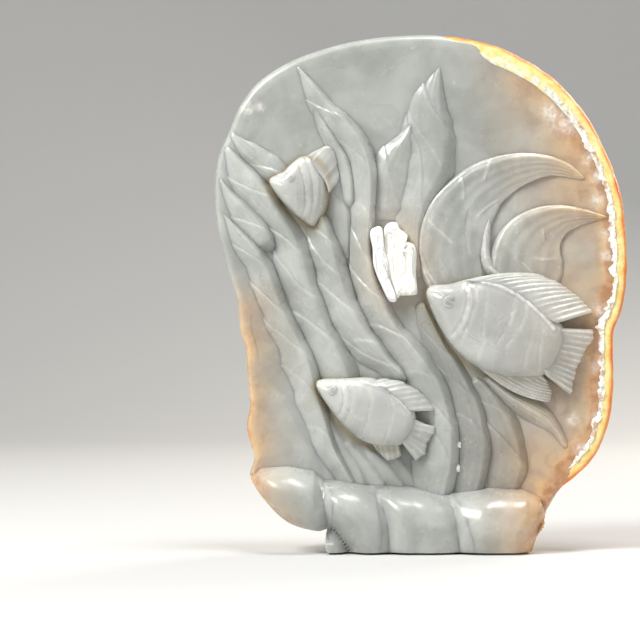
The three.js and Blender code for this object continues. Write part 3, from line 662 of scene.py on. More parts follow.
def surface_height(name, x, z):
    """Height of a finished piece's face near a point."""
    points = SURFACES[name]
    near = np.hypot(points[:, 0] - x, points[:, 1] - z)
    return points[near < 0.9][:, 2].max()


# Carved elements


def reed_profile(u, lean, hooked):
    """Height across a reed, 1 at its crest and soft to both sides. A hooked frond is steep inside."""
    r = np.abs(u - lean) / np.where(u > lean, 1 - lean, 1 + lean)
    if hooked:
        soft = np.where(u > lean, 1 - 0.78 * np.clip(r, 0, 1) ** 0.9, 1 - 0.3 * r)
        steep = np.where(u > lean, 12.0, 2.6)
        edge = np.where(u > lean, 0.22, 0.7)
    else:
        soft = 1 - 0.68 * r**1.6
        steep = np.where(u > lean, 1.15, 1.05)
        edge = 0.32
    return np.where(r <= 1, soft, edge - steep * (r - 1))


def run_on(stations, frond):
    """Lets a reed start beyond the left rim, and a reed or frond end behind the boulders or the fish."""
    if stations[0, 0] < LEFT_RIM:
        start = stations[0] + 0.42 * (stations[0] - stations[1])
        stations = np.vstack([[start[0], start[1], 0.7, 1.9], stations])
    if frond or stations[-1, 1] < BEHIND_BOULDERS:
        end = stations[-1] + 0.9 * (stations[-1] - stations[-2])
        stations = np.vstack([stations, [end[0], end[1], stations[-1, 2] * 0.9, stations[-1, 3]]])
    return stations


def sheaths(line, run, u, lean, steps, rng):
    """What the sheaths' steps add to a reed's height and width, and the painted highlight along their edges.
    """
    centre, width = line[:, :2], line[:, 2]
    rise = np.zeros((len(run), u.shape[1]))
    painted_highlight = np.zeros(rise.shape)
    swell = np.zeros(len(run))
    for level in steps:
        where = np.interp(-level, -centre[:, 1], run)
        slant = rng.uniform(1.2, 2.1)
        drop = STEP_DROP * rng.uniform(0.7, 1.25)
        bow = rng.uniform(-0.5, 0.9)
        d = where + width[:, None] * (slant * (u - lean) - bow * (u - lean) ** 2) - run[:, None]
        over = 1 / (1 + np.exp(-np.clip(d / 0.26, -40, 40)))
        above = -0.45 * np.exp(-np.abs(d) / 4.0) * over
        below = np.exp(-np.abs(d) / 4.5) * (1 - over)
        rise = rise + drop * smoothstep(0.8, 2.2, width)[:, None] * (above + below)
        # Painted highlight: a whitish line along each step's edge
        bright = rng.uniform(0.0, 0.9) * np.exp(-(((u - rng.uniform(-0.5, 0.3)) / 0.45) ** 2))
        painted_highlight = np.maximum(painted_highlight, bright * np.exp(-((d / 0.4) ** 2)))
        ahead = where - run
        swell = swell + np.exp(-np.abs(ahead) / 4) * np.where(ahead > 0, -0.09, 0.1)
    swell = np.convolve(np.pad(swell, 3, mode="edge"), np.ones(7) / 7, mode="valid")
    return rise, swell, painted_highlight


def within_rim(x, z, h):
    """Holds a reed below the pebble's lip and within its outline."""
    share = share_of(x, z)
    rim = LIP * np.minimum(share, 0.97) ** 4 - DISH + 0.4
    rim = np.where(share > 0.978, rim - 60 * (share - 0.978), rim)
    h = np.where(share > 0.9, np.minimum(h, rim + 30 * np.maximum(0.985 - share, 0)), h)
    keep = np.minimum(1, 0.988 / share)
    return HEART[0] + (x - HEART[0]) * keep, HEART[1] + (z - HEART[1]) * keep, h


def reed_grid(stations, lean, steps, seed, frond, stripes, sink, flat, marks):
    """A reed or a frond along its stations of x, z, half width and height, and how white each point is."""
    stations = np.array(stations, float)
    if not frond:
        stations[:, 2] *= REED_SPREAD
        stations[:, 3] *= REED_RISE
    line = spline(run_on(stations, frond), step=0.45)
    line[:, 2] = np.maximum(line[:, 2], 0.3)
    centre, width, crest = line[:, :2], line[:, 2], line[:, 3]
    along = np.gradient(centre, axis=0)
    along /= np.hypot(*along.T)[:, None]
    across = np.column_stack([-along[:, 1], along[:, 0]])
    run = np.concatenate([[0], np.cumsum(np.hypot(*np.diff(centre, axis=0).T))])
    hooked = frond and lean < -0.5
    u = (np.linspace(-1.12, 1.3, 61) if hooked else np.linspace(-1.7, 1.6, 51))[None, :]
    rise, swell, painted_highlight = sheaths(line, run, u, lean, steps, np.random.default_rng(100 + seed))
    h = crest[:, None] * reed_profile(u, lean, hooked) + rise
    reach = (width * (1 + swell))[:, None]
    x = centre[:, :1] + across[:, :1] * reach * u
    z = centre[:, 1:] + across[:, 1:] * reach * u
    h = h + stripes * np.sin(u * 15 + 0.5 * ripple(x, z, 9, 5)) * np.clip(1.2 - u**2, 0, 1)
    h = h + 0.16 * ripple(x, z, 8, 6 + seed) + 0.05 * ripple(x, z, 3, 7)
    fade = smoothstep(-1.5, 1.6, run) * smoothstep(run[-1] + 0.5, run[-1] - 5.0, run)
    h = (h + 1) * flat - 1
    h = h * fade[:, None] - 1.3 * (1 - fade[:, None]) - sink
    x, z, h = within_rim(x, z, h)
    if hooked:
        bead = np.exp(-(((u + 0.98) / 0.05) ** 2)) * (0.5 + 0.5 * ripple(x, z, 1.8, 9))
        h = h + 0.2 * bead
        # Painted highlight along the bead of the frond's outer edge
        painted_highlight = np.maximum(painted_highlight, bead)
    if marks:
        cut = groove(x, z, marks)
        h = h - cut
        # Whitens the veins: painted highlight on the raised ones, and the cut ones whitened too
        painted_highlight = np.maximum(painted_highlight, 2.2 * np.abs(cut))
    foot = np.full(len(run), -ROOT)
    columns = [np.column_stack([x[:, 0], z[:, 0], foot])]
    for k in range(x.shape[1]):
        columns.append(np.column_stack([x[:, k], z[:, k], np.maximum(h[:, k], -ROOT + 0.3)]))
    columns.append(np.column_stack([x[:, -1], z[:, -1], foot]))
    white = np.pad(0.55 * np.clip(painted_highlight, 0, 1), ((0, 0), (1, 1)))
    return np.stack(columns, axis=1), white.ravel()


def on_axis(axis, points):
    """The point of the axis that is nearest to each of the points."""
    a, b = np.array(axis[0], float), np.array(axis[1], float)
    t = np.clip(((points - a) @ (b - a)) / max((b - a) @ (b - a), 1e-9), 0, 1)
    return a + t[:, None] * (b - a)


def dome(share, edge, crest, power=2.4):
    """Height of a rounded body at that share of the way from its axis to its rim."""
    return edge + (crest - edge) * np.maximum(1 - share**power, 0) ** 0.5


def body(outline, axis, count=200):
    """A body's rim, the point of its axis nearest to each point of the rim, and the middle of the axis."""
    rim = spline(outline, count=count, closed=True)
    return rim, on_axis(axis, rim), np.mean(np.array(axis, float), axis=0)


def dome_grid(rim, core, middle, height, rings=84, under=1.0):
    """A body over a rim, with its height at x, z and share given by a function.

    Its side tucks in below the rim, by under as a factor.
    """
    rows = []
    for share in np.sin(np.linspace(0.012, math.pi / 2, rings)):
        hub = middle + (core - middle) * (1 - (1 - share) ** 2)
        p = hub + (rim - hub) * share
        rows.append(np.column_stack([p, height(p[:, 0], p[:, 1], share)]))
    for share, drop in ((1.0, 0.35), (0.992, 0.8), (0.975, 1.5), (0.955, 2.4), (0.94, 3.6)):
        p = core + (rim - core) * (1 - (1 - share) * under)
        rows.append(np.column_stack([p, rows[rings - 1][:, 2] - drop]))
    p = core + (rim - core) * (1 - 0.06 * under)
    rows.append(np.column_stack([p, np.full(len(rim), -ROOT)]))
    return np.array(rows)


def grown(rim, core, by):
    """The rim moved away from the axis, in mm."""
    return rim + (rim - core) * (by / np.hypot(*(rim - core).T))[:, None]


def fin_grid(base, tip, heights, rays, relief=0.2, sag=0.0, start=0.0):
    """A ribbed fin between two lines, and how white each point is."""
    columns = rays * 14
    a = spline(base, count=columns)
    b = spline(tip, count=columns)
    u = np.linspace(0, 1, columns)
    phase = 0.5 - 0.5 * np.cos(2 * math.pi * rays * (u + 0.012 * np.sin(9 * u)))
    outward = (b - a) / np.hypot(*(b - a).T)[:, None]
    b = b + outward * (0.14 * (phase - 0.6) + 0.4 * ripple(b[:, 0], b[:, 1], 4, 71))[:, None]
    lean = 0.5 + 0.5 * ripple(14 * u, 0 * u, 2.0, 72)
    rows = []
    white = []
    for v in np.linspace(0, 1, FIN_ROWS):
        p = a + (b - a) * v
        p[:, 1] -= sag * math.sin(math.pi * v) * (1 - u)
        h = heights[0] + (heights[1] - heights[0]) * v**1.15
        thin = phase**2.6 * smoothstep(0.15 + 0.3 * lean, 0.5 + 0.3 * lean, v + 0.25 - start)
        edge = -0.7 * (smoothstep(0.88, 1, v) + smoothstep(0.05, 0, u) + smoothstep(0.95, 1, u))
        rows.append(np.column_stack([p, h + relief * thin + 0.1 * ripple(p[:, 0], p[:, 1], 4, 73) + edge]))
        white.append(2.3 * relief * thin)
    for drop in (0.5, 1.3):
        rows.append(np.column_stack([b, rows[FIN_ROWS - 1][:, 2] - drop]))
    rows.append(np.column_stack([b - outward * 0.7, np.full(columns, -ROOT)]))
    rows.append(np.column_stack([a, np.full(columns, -ROOT)]))
    white += [0 * u] * 4
    return np.stack(rows, axis=1), np.stack(white, axis=1).ravel()


def back_depth(share):
    """How far the back lies behind the cut face."""
    return RIM + (BACK - RIM) * np.maximum(1 - share**2.6, 0) ** 0.62


def shell_path():
    """Section of the pebble from the middle of its back round the rim to the front face: share and h."""
    back = [(s, -back_depth(s)) for s in np.linspace(0.0, 0.9, 46)]
    turn = [(s, -back_depth(s)) for s in 1 - 0.1 * np.linspace(1, 0, 14)[1:] ** 1.8]
    side = [(1.0, -RIM + 1.2), (1.0, -1.2)]
    lip = LIP * 0.955**4 - DISH
    bend = []
    for a in np.linspace(0.25, math.pi / 2, 9):
        bend.append((1 - 0.022 * (1 - math.cos(a)), -1.2 + (lip + 1.2) * math.sin(a)))
    flat = [(share, LIP * share**4 - DISH) for share in (0.965, 0.955, GROUND_SHARE)]
    return np.array([*back, *turn, *side, *bend, *flat])


PATH = shell_path()


def skin_reach():
    """How far along the section the skin goes, for every point of the outline."""
    full = len(PATH) - 1.0
    x, z = OUTLINE.T
    # On the right the skin wraps the rim, and on the left it ends as a patch on the back
    right = smoothstep(-34, 24, x + 5 * ripple(x, z, 11, 13)) * smoothstep(-6, 26, z)
    patch = 30 + 3.5 * ripple(x, z, 70, 11) + 0.8 * ripple(x, z, 22, 12)
    return np.clip(patch * (1 - right) + full * right, 8, full)


REACH = skin_reach()


def leaves(x, z):
    """Soft leaves in the ground between the lower fish and the boulders."""
    total = np.zeros(np.shape(x))
    for points, half, rise in GROUND_LEAVES:
        path = spline(points, step=0.5)
        near = np.full(np.shape(x), 1e9)
        side = np.zeros(np.shape(x))
        along = np.gradient(path, axis=0)
        for (px, pz), (ax, az) in zip(path, along):
            d = (x - px) ** 2 + (z - pz) ** 2
            side = np.where(d < near, np.sign(ax * (z - pz) - az * (x - px)), side)
            near = np.minimum(near, d)
        reach = np.where(side > 0, 0.35 * half, half)
        total = np.maximum(total, rise * np.exp(-near / reach**2))
    return total


def stone_grid():
    """The pebble from the middle of its back to the middle of its front, sunk where the skin covers it."""
    x, z = OUTLINE.T
    inner = 1 - 0.7 / np.hypot(x - HEART[0], z - HEART[1])
    rows = []
    for i in range(1, len(PATH)):
        share, h = PATH[i]
        covered = smoothstep(0.5, -1.5, i - REACH)
        p = ring((share * (1 - covered * (1 - inner)))[:, None])
        lump = 0.35 * ripple(p[:, 0], p[:, 1], 26, 14) * smoothstep(1, 0.8, share) * (h < -RIM)
        depth = h + covered * (1.2 if h < -1 else -0.5) + lump
        rows.append(np.column_stack([p, np.maximum(depth, -BACK + 0.1)]))
    for share in GROUND_SHARE * np.linspace(1, 0, 106)[1:-1]:
        p = ring(share)
        px, pz = p.T
        h = LIP * share**4 - DISH - blobs(px, pz, HOLLOWS) + 0.16 * ripple(px, pz, 15, 15)
        h = h + 0.05 * ripple(px, pz, 4, 16) + leaves(px, pz)
        rows.append(np.column_stack([p, h]))
    return np.array(rows)


def skin_grid():
    """The weathered skin: an outer and an inner sheet over the back and round the rim."""
    size = np.hypot(*(OUTLINE - HEART).T)
    rows = []
    for outer, direction in ((True, 1), (False, -1)):
        for j in np.linspace(0.01, 1, 84)[::direction]:
            at = j * REACH
            share = np.interp(at, np.arange(len(PATH)), PATH[:, 0])
            h = np.interp(at, np.arange(len(PATH)), PATH[:, 1])
            p = ring(share[:, None])
            if outer:
                rough = 0.15 * (1 + ripple(p[:, 0], p[:, 1], 5, 17)) + 0.5 * smoothstep(0.94, 1.0, j)
                pull = 1 - rough * (share > 0.9) / size
                h = h + np.where(h < -RIM, rough, 0)
            else:
                pull = 1 - 1.7 * smoothstep(0.6, 0.98, share) / size
                h = np.where(h < 0, h + 1.6 * smoothstep(0, 3, -h), h - 0.9)
            rows.append(np.column_stack([HEART + (p - HEART) * pull[:, None], h]))
    return np.array(rows)


def skin_tone(grid):
    """The skin's vertex colour: red is rind against the pale band, green is milk, blue is weathering."""
    x, z, h = grid.reshape(-1, 3).T
    d = inside(x, z)
    orange = smoothstep(2.0, 0.5, d + 0.4 * ripple(x, z, 8, 21))
    orange = np.where(h < -1.8, 1.0, orange)
    milk = smoothstep(2.6, 4.2, d) * (h > -1.5)
    return np.column_stack([orange, milk, smoothstep(-1.5, -9, h), np.ones(len(x))])


def crust_grid():
    """Broken white crystal between the skin and the jade, with a toothed inner edge."""
    k = [i for i in range(len(OUTLINE)) if OUTLINE[i][0] > 30 and OUTLINE[i][1] > 20]
    step = 0.32
    line = spline(OUTLINE[k[0] : k[-1] + 1 : 6], step=step)
    inward = HEART + (0, 18) - line
    inward /= np.hypot(*inward.T)[:, None]
    rng = np.random.default_rng(31)
    run = np.arange(len(line)) * step
    teeth = np.zeros(len(line))
    at = 0.0
    while at < run[-1]:
        long = rng.uniform(0.6, 2.2)
        teeth[(run >= at) & (run < at + long)] = rng.uniform(0.0, 0.9)
        at += long
    taper = smoothstep(0, 6, run) * smoothstep(run[-1], run[-1] - 6, run)
    swell = 0.5 + 0.9 * ripple(run, 0 * run, 9, 36) + 0.7 * ripple(run, 0 * run, 2.8, 37)
    width = (0.45 + np.clip(swell, 0, 2.4) + teeth) * taper + 0.15
    outer = 0.35 * ripple(line[:, 0], line[:, 1], 5, 35)
    rows = []
    for v in np.linspace(0, 1, 26):
        p = line + inward * (3.1 + outer + width * v)[:, None]
        block = 0.45 * cells(p[:, 0], p[:, 1], 1.1, 1.1, 33) + 0.3 * cells(p[:, 0], p[:, 1], 0.5, 1.0, 34)
        block = block + 0.25 * (1 + ripple(p[:, 0], p[:, 1], 2.2, 38))
        full = smoothstep(-0.02, 0.12, v) * (1 - 0.55 * v) * (0.25 + 0.75 * taper)
        rows.append(np.column_stack([p, LIP * 0.8 - DISH - 0.25 + (0.15 + 0.95 * block) * full]))
    for reach, h in ((3.2 + outer + width, 0.2), (3.2 + outer + width, 1 - ROOT), (3.0 + outer, 1 - ROOT)):
        rows.append(np.column_stack([line + inward * reach[:, None], np.full(len(line), h)]))
    return np.stack(rows, axis=1)


def crystal_height(face, lean):
    """Height of a broken crystal: flat tilted facets, long along its lean."""
    def height(x, z, share):
        skew = x + lean * z
        block = cells(skew, z, 1.9, 3.4, 41)
        fine = cells(skew, z, 0.8, 1.8, 43)
        rough = 0.8 * block + 0.16 * fine - 0.3 - 0.5 * smoothstep(0.9, 1, share)
        return dome(share, face - 0.9, face - 0.4, power=9) + rough
    return height


def button_grid(x, z, reach, level, profile, turn):
    """A small round body with a point at every turn, from a profile of shares of its reach and rises."""
    rows = []
    for share, rise in profile:
        px = x + reach * share * np.cos(turn)
        pz = z + reach * share * np.sin(turn)
        rows.append(np.column_stack([px, pz, np.full(len(turn), level + rise)]))
    return np.array(rows)


# Materials


class Nodes:
    """A material's node tree with short calls. Sizes are in millimetres."""

    def __init__(self, name):
        self.material = bpy.data.materials.new(name)
        self.material.use_nodes = True
        self.tree = self.material.node_tree
        self.shader = self.tree.nodes["Principled BSDF"]
        self.place = self.tree.nodes.new("ShaderNodeTexCoord").outputs["Object"]
        tone = self.tree.nodes.new("ShaderNodeAttribute")
        tone.attribute_name = "tone"
        split = self.tree.nodes.new("ShaderNodeSeparateColor")
        self.link(tone.outputs["Color"], split.inputs["Color"])
        # Blue of the tone: painted shade in the cuts round the fish on the jade, weathering on the skin
        self.stain, self.milk, self.deep = split.outputs[:3]

    def link(self, out, into):
        self.tree.links.new(out, into)

    def noise(self, size_mm, detail=4.0, rough=0.55, distort=0.0, stretch=None):
        node = self.tree.nodes.new("ShaderNodeTexNoise")
        node.inputs["Scale"].default_value = 1000.0 / size_mm
        node.inputs["Detail"].default_value = detail
        node.inputs["Roughness"].default_value = rough
        node.inputs["Distortion"].default_value = distort
        source = self.place
        if stretch:
            mapping = self.tree.nodes.new("ShaderNodeMapping")
            mapping.inputs["Scale"].default_value = stretch
            self.link(self.place, mapping.inputs["Vector"])
            source = mapping.outputs["Vector"]
        self.link(source, node.inputs["Vector"])
        return node.outputs["Fac"]

    def cracks(self, size_mm):
        node = self.tree.nodes.new("ShaderNodeTexVoronoi")
        node.feature = "DISTANCE_TO_EDGE"
        node.inputs["Scale"].default_value = 1000.0 / size_mm
        self.link(self.place, node.inputs["Vector"])
        return node.outputs["Distance"]

    def ramp(self, fac, low, high, a=0.0, b=1.0):
        node = self.tree.nodes.new("ShaderNodeMapRange")
        node.interpolation_type = "SMOOTHSTEP"
        self.link(fac, node.inputs["Value"])
        for name, value in (("From Min", low), ("From Max", high), ("To Min", a), ("To Max", b)):
            node.inputs[name].default_value = value
        return node.outputs["Result"]

    def math(self, operation, a, b):
        node = self.tree.nodes.new("ShaderNodeMath")
        node.operation = operation
        for socket, value in zip(node.inputs, (a, b)):
            if isinstance(value, (int, float)):
                socket.default_value = value
            else:
                self.link(value, socket)
        return node.outputs[0]

    def mix(self, fac, a, b):
        node = self.tree.nodes.new("ShaderNodeMix")
        node.data_type = "RGBA"
        sockets = [node.inputs["Factor"], node.inputs[6], node.inputs[7]]
        for socket, value in zip(sockets, (fac, a, b)):
            if isinstance(value, (int, float)):
                socket.default_value = value
            elif isinstance(value, tuple):
                socket.default_value = (*value, 1.0)
            else:
                self.link(value, socket)
        return node.outputs[2]

    def bump(self, height, strength, distance_mm):
        node = self.tree.nodes.new("ShaderNodeBump")
        node.inputs["Strength"].default_value = strength
        node.inputs["Distance"].default_value = distance_mm * MM
        self.link(height, node.inputs["Height"])
        self.link(node.outputs["Normal"], self.shader.inputs["Normal"])

    def set(self, **values):
        for name, value in values.items():
            socket = self.shader.inputs[name.replace("_", " ")]
            if isinstance(value, bpy.types.NodeSocket):
                self.link(value, socket)
            else:
                socket.default_value = value


def colour(r, g, b):
    """Linear colour from the values that a colour picker shows."""
    def linear(c):
        c /= 255
        return c / 12.92 if c <= 0.04045 else ((c + 0.055) / 1.055) ** 2.4
    return (linear(r), linear(g), linear(b))


def jade(name, base, light, polish=0.24, coat=0.35, stain=1.0):
    """Clouded translucent jade, tan where it is stained, olive-brown painted shade in the cuts round the
    fish, and white where it is milky and where highlight is painted along edges and ridges.
    """
    n = Nodes(name)
    cloud = n.noise(17, detail=5, distort=0.6)
    fine = n.noise(2.2, detail=6, rough=0.7)
    grey = n.mix(n.ramp(cloud, 0.36, 0.66), colour(*base), colour(*light))
    fleck = n.math("MULTIPLY", n.ramp(fine, 0.6, 0.74), 0.4)
    grey = n.mix(fleck, grey, colour(228, 228, 222))
    shadow = n.math("MULTIPLY", n.ramp(n.noise(6, detail=3), 0.5, 0.7), 0.16)
    grey = n.mix(shadow, grey, colour(150, 150, 140))
    tan = n.mix(n.ramp(n.noise(5.5, detail=5), 0.4, 0.62), colour(214, 182, 140), colour(196, 156, 118))
    rusty = n.mix(n.ramp(n.noise(3.4, detail=5), 0.42, 0.6), colour(198, 156, 120), colour(176, 128, 92))
    tan = n.mix(n.ramp(n.stain, 0.72, 1.0, 0.0, 0.85), tan, rusty)
    patchy = n.math("MULTIPLY", n.stain, n.ramp(n.noise(8, detail=4), 0.2, 0.6, 0.85 * stain, 1.35 * stain))
    patchy = n.math("MINIMUM", patchy, 1.0)
    stained = n.mix(patchy, grey, tan)
    # Painted shade: olive-brown darkening where the tone's blue marks the cuts round the fish
    stained = n.mix(n.math("MULTIPLY", n.deep, 0.7), stained, colour(146, 132, 96))
    speckle = n.ramp(n.noise(1.3, detail=3), 0.42, 0.6, 0.4, 1.0)
    # White from the tone's green: milky clouds, and painted highlight along reed edges, frond veins and fish
    # lines
    milky = n.mix(n.math("MULTIPLY", n.milk, speckle), stained, colour(246, 243, 236))
    n.set(
        Base_Color=milky,
        Roughness=n.ramp(n.noise(9, detail=5), 0.3, 0.7, polish, polish + 0.16),
        IOR=1.58,
        Subsurface_Weight=0.85,
        Subsurface_Radius=(1.0, 1.0, 0.82),
        Subsurface_Scale=3.6 * MM,
        Coat_Weight=coat,
        Coat_Roughness=0.16,
    )
    grain = n.math("ADD", n.noise(0.9, detail=3), n.math("MULTIPLY", n.noise(3.2, detail=2), 1.6))
    scratch = n.noise(1.4, detail=3, rough=0.6, stretch=(1.0, 1.0, 0.22))
    grain = n.math("ADD", grain, n.math("MULTIPLY", n.ramp(scratch, 0.56, 0.7), 0.5))
    n.bump(grain, 0.22, 0.12)
    return n.material


def russet(name):
    """The pebble's skin: a pale band, an orange rind, and honey and brown weathering on the back."""
    n = Nodes(name)
    mottle = n.noise(6, detail=7, rough=0.62, distort=0.8)
    pale = n.mix(n.ramp(n.noise(2.4, detail=5), 0.35, 0.65), colour(255, 236, 170), colour(250, 214, 130))
    orange = n.mix(n.ramp(mottle, 0.35, 0.62), colour(252, 150, 34), colour(232, 118, 24))
    honey = n.mix(n.ramp(n.noise(19, detail=6), 0.35, 0.65), colour(200, 146, 90), colour(160, 100, 54))
    brown = n.mix(n.ramp(n.noise(3.1, detail=6), 0.4, 0.6), colour(138, 84, 44), colour(98, 60, 34))
    weathered = n.mix(n.ramp(n.noise(9, detail=7, rough=0.62), 0.46, 0.68), honey, brown)
    weathered = n.mix(n.ramp(n.noise(13, detail=5), 0.58, 0.72, 0.0, 0.7), weathered, colour(222, 188, 132))
    rind = n.mix(n.deep, orange, weathered)
    base = n.mix(n.stain, pale, rind)
    milky = n.math("MULTIPLY", n.milk, n.ramp(n.noise(1.6, detail=4), 0.35, 0.6))
    base = n.mix(milky, base, colour(248, 244, 232))
    n.set(
        Base_Color=base,
        Roughness=n.ramp(n.noise(4, detail=5), 0.3, 0.7, 0.36, 0.56),
        IOR=1.5,
        Subsurface_Weight=0.5,
        Subsurface_Radius=(1.0, 0.55, 0.25),
        Subsurface_Scale=1.5 * MM,
        Coat_Weight=0.1,
        Coat_Roughness=0.25,
    )
    pits = n.math("ADD", n.ramp(n.noise(1.1, detail=4), 0.3, 0.6), n.ramp(n.cracks(7), 0.0, 0.08))
    n.bump(pits, 0.35, 0.25)
    return n.material


def quartz(name, warm, dirt=0.0):
    """White broken crystal with faint veins, and rusty dirt where it is asked for."""
    n = Nodes(name)
    grain = n.noise(1.4, detail=6, rough=0.7)
    white = n.mix(n.ramp(grain, 0.35, 0.65), colour(252, 252, 250), colour(*warm))
    white = n.mix(n.ramp(n.noise(2.6, detail=5), 0.5, 0.62, 0.0, dirt), white, colour(190, 138, 92))
    vein = n.math("MULTIPLY", n.ramp(n.cracks(2.6), 0.06, 0.0), 0.18)
    n.set(
        Base_Color=n.mix(vein, white, colour(206, 200, 186)),
        Roughness=n.ramp(grain, 0.3, 0.7, 0.3, 0.6),
        IOR=1.55,
        Subsurface_Weight=0.6,
        Subsurface_Radius=(1.0, 0.97, 0.9),
        Subsurface_Scale=1.0 * MM,
    )
    n.bump(n.noise(0.5, detail=4), 0.5, 0.12)
    return n.material


JADE = jade("jade_ground", (163, 166, 162), (183, 186, 182))
JADE_REED = jade("jade_reed", (164, 167, 163), (187, 190, 186), polish=0.22)
# Painted shade: a darker copy of the reed jade for the low reeds, which lie in the large fish's shade
JADE_PAINTED_SHADE = jade("jade_painted_shade", (142, 144, 139), (160, 162, 157))
JADE_FISH = jade("jade_fish", (176, 178, 174), (196, 198, 194), polish=0.2, coat=0.5, stain=0.3)
RUSSET = russet("russet_skin")
QUARTZ = quartz("quartz_cool", (250, 250, 250))
QUARTZ_WARM = quartz("quartz_warm", (250, 244, 230))
QUARTZ_RIM = quartz("quartz_rim", (250, 244, 230), dirt=0.75)


# Pieces


def build_stone():
    piece("stone_ground", stone_grid(), JADE, crease=60, cut_foot=0.001)
    grid = skin_grid()
    piece("russet_skin", grid, RUSSET, crease=60, tone=skin_tone(grid), cut_foot=FOOT_CUT)
    piece("quartz_crust", crust_grid(), QUARTZ_RIM, crease=24)


def build_crystals():
    for name, material, lean in (
        ("quartz_slab_left", QUARTZ, 0.25),
        ("quartz_slab_right", QUARTZ_WARM, 0.12),
    ):
        shape = CRYSTALS[name]
        centre = tuple(np.mean(shape["outline"], axis=0))
        rim, core, middle = body(shape["outline"], (centre, centre), count=150)
        height = crystal_height(shape["face"], lean)
        grid = dome_grid(grown(rim, core, 0.65), core, middle, height, rings=40, under=0.0)
        piece(name, grid, material, crease=22)


def build_reeds():
    for seed, (name, shape) in enumerate(REEDS.items()):
        frond = name.startswith("frond_")
        fin = name == "streamer_fin"
        grid, white = reed_grid(
            shape["stations"], shape["lean"], STEPS.get(name, []), seed, frond,
            stripes=0.1 if frond or fin else 0.04, sink=SUNK.get(name, 0.0), flat=FLAT.get(name, 1.0),
            marks=ENGRAVED.get(name, ()),
        )
        # Painted highlight: the frond's lip is whitened all over
        if name == "frond_lip":
            white = white + 0.4
        # The low reeds under the large fish get the darker copy, as painted shade
        material = JADE_PAINTED_SHADE if "_low_" in name else JADE_REED
        piece(name, grid, material, crease=75, white=white)


def fish_height(name):
    shape = FISH[name]

    def height(x, z, share):
        # The upper fish sinks towards its tail
        fall = 0.36 * np.maximum(x + 36, 0) if name == "fish_upper_body" else 0.0
        body = dome(share, shape["edge"], shape["crest"])
        return body + (-groove(x, z, ENGRAVED[name]) + 0.13 * ripple(x, z, 5, 51) - fall)
    return height


def build_fish():
    turn = np.linspace(0, 2 * math.pi, 40, endpoint=False)
    for name, shape in FISH.items():
        grid = dome_grid(*body(shape["outline"], shape["axis"]), fish_height(name), under=1.3)
        x, z, h = grid.reshape(-1, 3).T
        # Whitens the engraved lines: whitish scratches in the grooves, and painted highlight on the raised
        # ridges
        white = 1.6 * np.abs(groove(x, z, ENGRAVED[name])) * (h > 0)
        piece(name, grid, JADE_FISH, crease=75, white=np.clip(white, 0, 0.6))
    for name, fin in FINS.items():
        grid, white = fin_grid(**fin)
        piece(name, grid, JADE_FISH, crease=75, white=white)
    for fish, x, z, radius in (
        ("large", EYE_AT[0], EYE_AT[1], 1.9),
        ("lower", -25.4, 47, 1.35),
        ("upper", -37.2, 108, 1.25),
    ):
        level = surface_height("fish_%s_body" % fish, x, z) - 0.06
        grid = button_grid(x, z, radius, level, EYE_PROFILE, turn)
        piece("fish_%s_eye" % fish, grid, JADE_FISH, crease=80)


def bank(x, z):
    """Height of the boulders: a rounded bank along the foot, with soft clefts between its lobes."""
    top = np.interp(x, *np.array(BANK_TOP, float).T) - 0.8
    over = 1 - np.clip((top - z) / 10.0, 0, 1)
    side = 1 - np.clip((inside(x, z) + 1.0) / 9.0, 0, 1)
    foot = 1 - 0.16 * np.clip(1 - z / 9.0, 0, 1) ** 2
    near = distance(x, z, np.vstack([spline(line, step=0.4) for line in CLEFTS]))
    cleft = CLEFT_DEPTH * np.exp(-((near / 2.9) ** 1.15))
    h = (BANK_HEIGHT - cleft) * np.sqrt(1 - over**2.2) * np.sqrt(1 - side**2.2) * foot
    h = h + 0.7 * ripple(x, z, 12, 61) * (h / 12) + 0.1 * ripple(x, z, 4, 62)
    return h - 1.8 * np.clip(z - top, 0, 2)


def boulder_height(index):
    """The bank's height, with every second boulder a hair lower so that two faces never coincide."""
    def height(x, z, share):
        return bank(x, z) - 0.05 * (index % 2)
    return height


def build_boulders():
    for index, (name, shape) in enumerate(BOULDERS.items()):
        rim, core, middle = body(shape["outline"], shape["axis"])
        rim = grown(rim, core, OVERLAP * smoothstep(0.4, 3.0, inside(*rim.T)))
        # Along the pebble's own edge the rim follows it, and the side below tucks in
        on_edge = 1 - smoothstep(0.5, 2.4, inside(*rim.T))[:, None]
        nearest = np.argmin(np.hypot(*(OUTLINE[:, None] - rim[None]).transpose(2, 0, 1)), axis=0)
        rim = rim + (OUTLINE[nearest] - rim) * on_edge
        grid = dome_grid(rim, core, middle, boulder_height(index), under=on_edge)
        piece(name, grid, JADE_REED, crease=70, cut_foot=FOOT_CUT)


def build_specks():
    turn = np.linspace(0, 2 * math.pi, 36, endpoint=False)
    for name, x, z, radius in (
        ("quartz_speck_upper", 11, 31.2, 0.9),
        ("quartz_speck_lower", 10.5, 24.4, 1.15),
    ):
        level = surface_height("reed_low_inner", x, z) + 0.4
        reach = radius * (1 + 0.16 * np.sin(3 * turn + x) + 0.1 * np.sin(5 * turn))
        grid = button_grid(x, z, reach, level, SPECK_PROFILE, turn)
        grid[:, :, 2] += 0.08 * np.sin(4 * grid[:, :, 0] + 5 * grid[:, :, 1])
        piece(name, grid, QUARTZ, crease=40)


# Stage


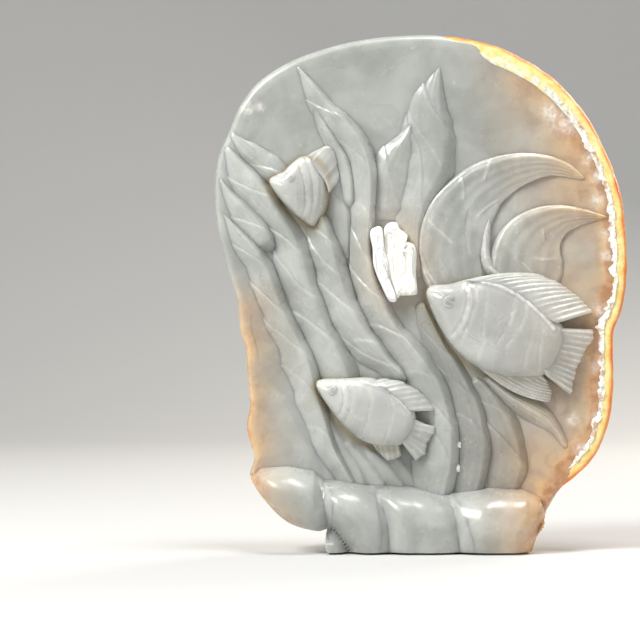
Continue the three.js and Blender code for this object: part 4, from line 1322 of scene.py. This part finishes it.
def build_stage():
    """A pale floor that curves up into a backdrop."""
    bend_at, bend = 0.7, 0.6
    profile = [(-2.2, 0.0), (bend_at, 0.0)]
    for a in np.linspace(0, math.pi / 2, 14)[1:]:
        profile.append((bend_at + bend * math.sin(a), bend - bend * math.cos(a)))
    profile.append((bend_at + bend, 3.0))
    verts = []
    for y, z in profile:
        verts += [(-3.0, y, z), (3.0, y, z)]
    faces = [(2 * i, 2 * i + 1, 2 * i + 3, 2 * i + 2) for i in range(len(profile) - 1)]
    mesh = bpy.data.meshes.new("backdrop")
    mesh.from_pydata(verts, [], faces)
    mesh.shade_smooth()
    obj = bpy.data.objects.new("backdrop", mesh)
    bpy.context.scene.collection.objects.link(obj)
    material = bpy.data.materials.new("backdrop")
    material.use_nodes = True
    shader = material.node_tree.nodes["Principled BSDF"]
    shader.inputs["Base Color"].default_value = (0.62, 0.62, 0.61, 1)
    shader.inputs["Roughness"].default_value = 0.8
    mesh.materials.append(material)


def area_light(name, place, target, size, power, tint=(1, 1, 1)):
    data = bpy.data.lights.new(name, "AREA")
    data.shape = "RECTANGLE"
    data.size, data.size_y = size
    data.energy = power
    data.color = tint
    obj = bpy.data.objects.new(name, data)
    bpy.context.scene.collection.objects.link(obj)
    obj.location = place
    direction = np.array(target) - np.array(place)
    yaw = math.atan2(-direction[0], direction[1])
    pitch = math.atan2(direction[2], math.hypot(direction[0], direction[1]))
    obj.rotation_euler = (math.pi / 2 + pitch, 0, yaw)


def build_lights():
    middle = (0, 0, 0.075)
    area_light("key", (-0.5, -0.42, 0.62), middle, (0.26, 0.26), 7.5, (1, 0.99, 0.97))
    area_light("fill", (0.8, -0.9, 0.3), middle, (0.6, 0.6), 1.2)
    area_light("top", (0.15, -0.15, 0.9), middle, (0.4, 0.3), 4.4)
    area_light("back", (0.5, 0.6, 0.5), middle, (0.5, 0.5), 6, (1, 0.93, 0.84))
    world = bpy.data.worlds.new("world")
    world.use_nodes = True
    sky = world.node_tree.nodes["Background"]
    sky.inputs["Color"].default_value = (1.0, 1.0, 1.0, 1)
    sky.inputs["Strength"].default_value = 0.27
    bpy.context.scene.world = world


def build_camera():
    data = bpy.data.cameras.new("camera")
    data.lens = 150
    data.sensor_width = 36
    obj = bpy.data.objects.new("camera", data)
    bpy.context.scene.collection.objects.link(obj)
    obj.location = (-29.1 * MM + OFFSET[0], -773 * MM + OFFSET[1], 67.3 * MM)
    obj.rotation_euler = (math.pi / 2, 0, 0)
    bpy.context.scene.camera = obj


bpy.context.scene.view_settings.view_transform = "Standard"
build_camera()
build_stone()
build_crystals()
build_reeds()
build_fish()
build_boulders()
build_specks()
build_stage()
build_lights()
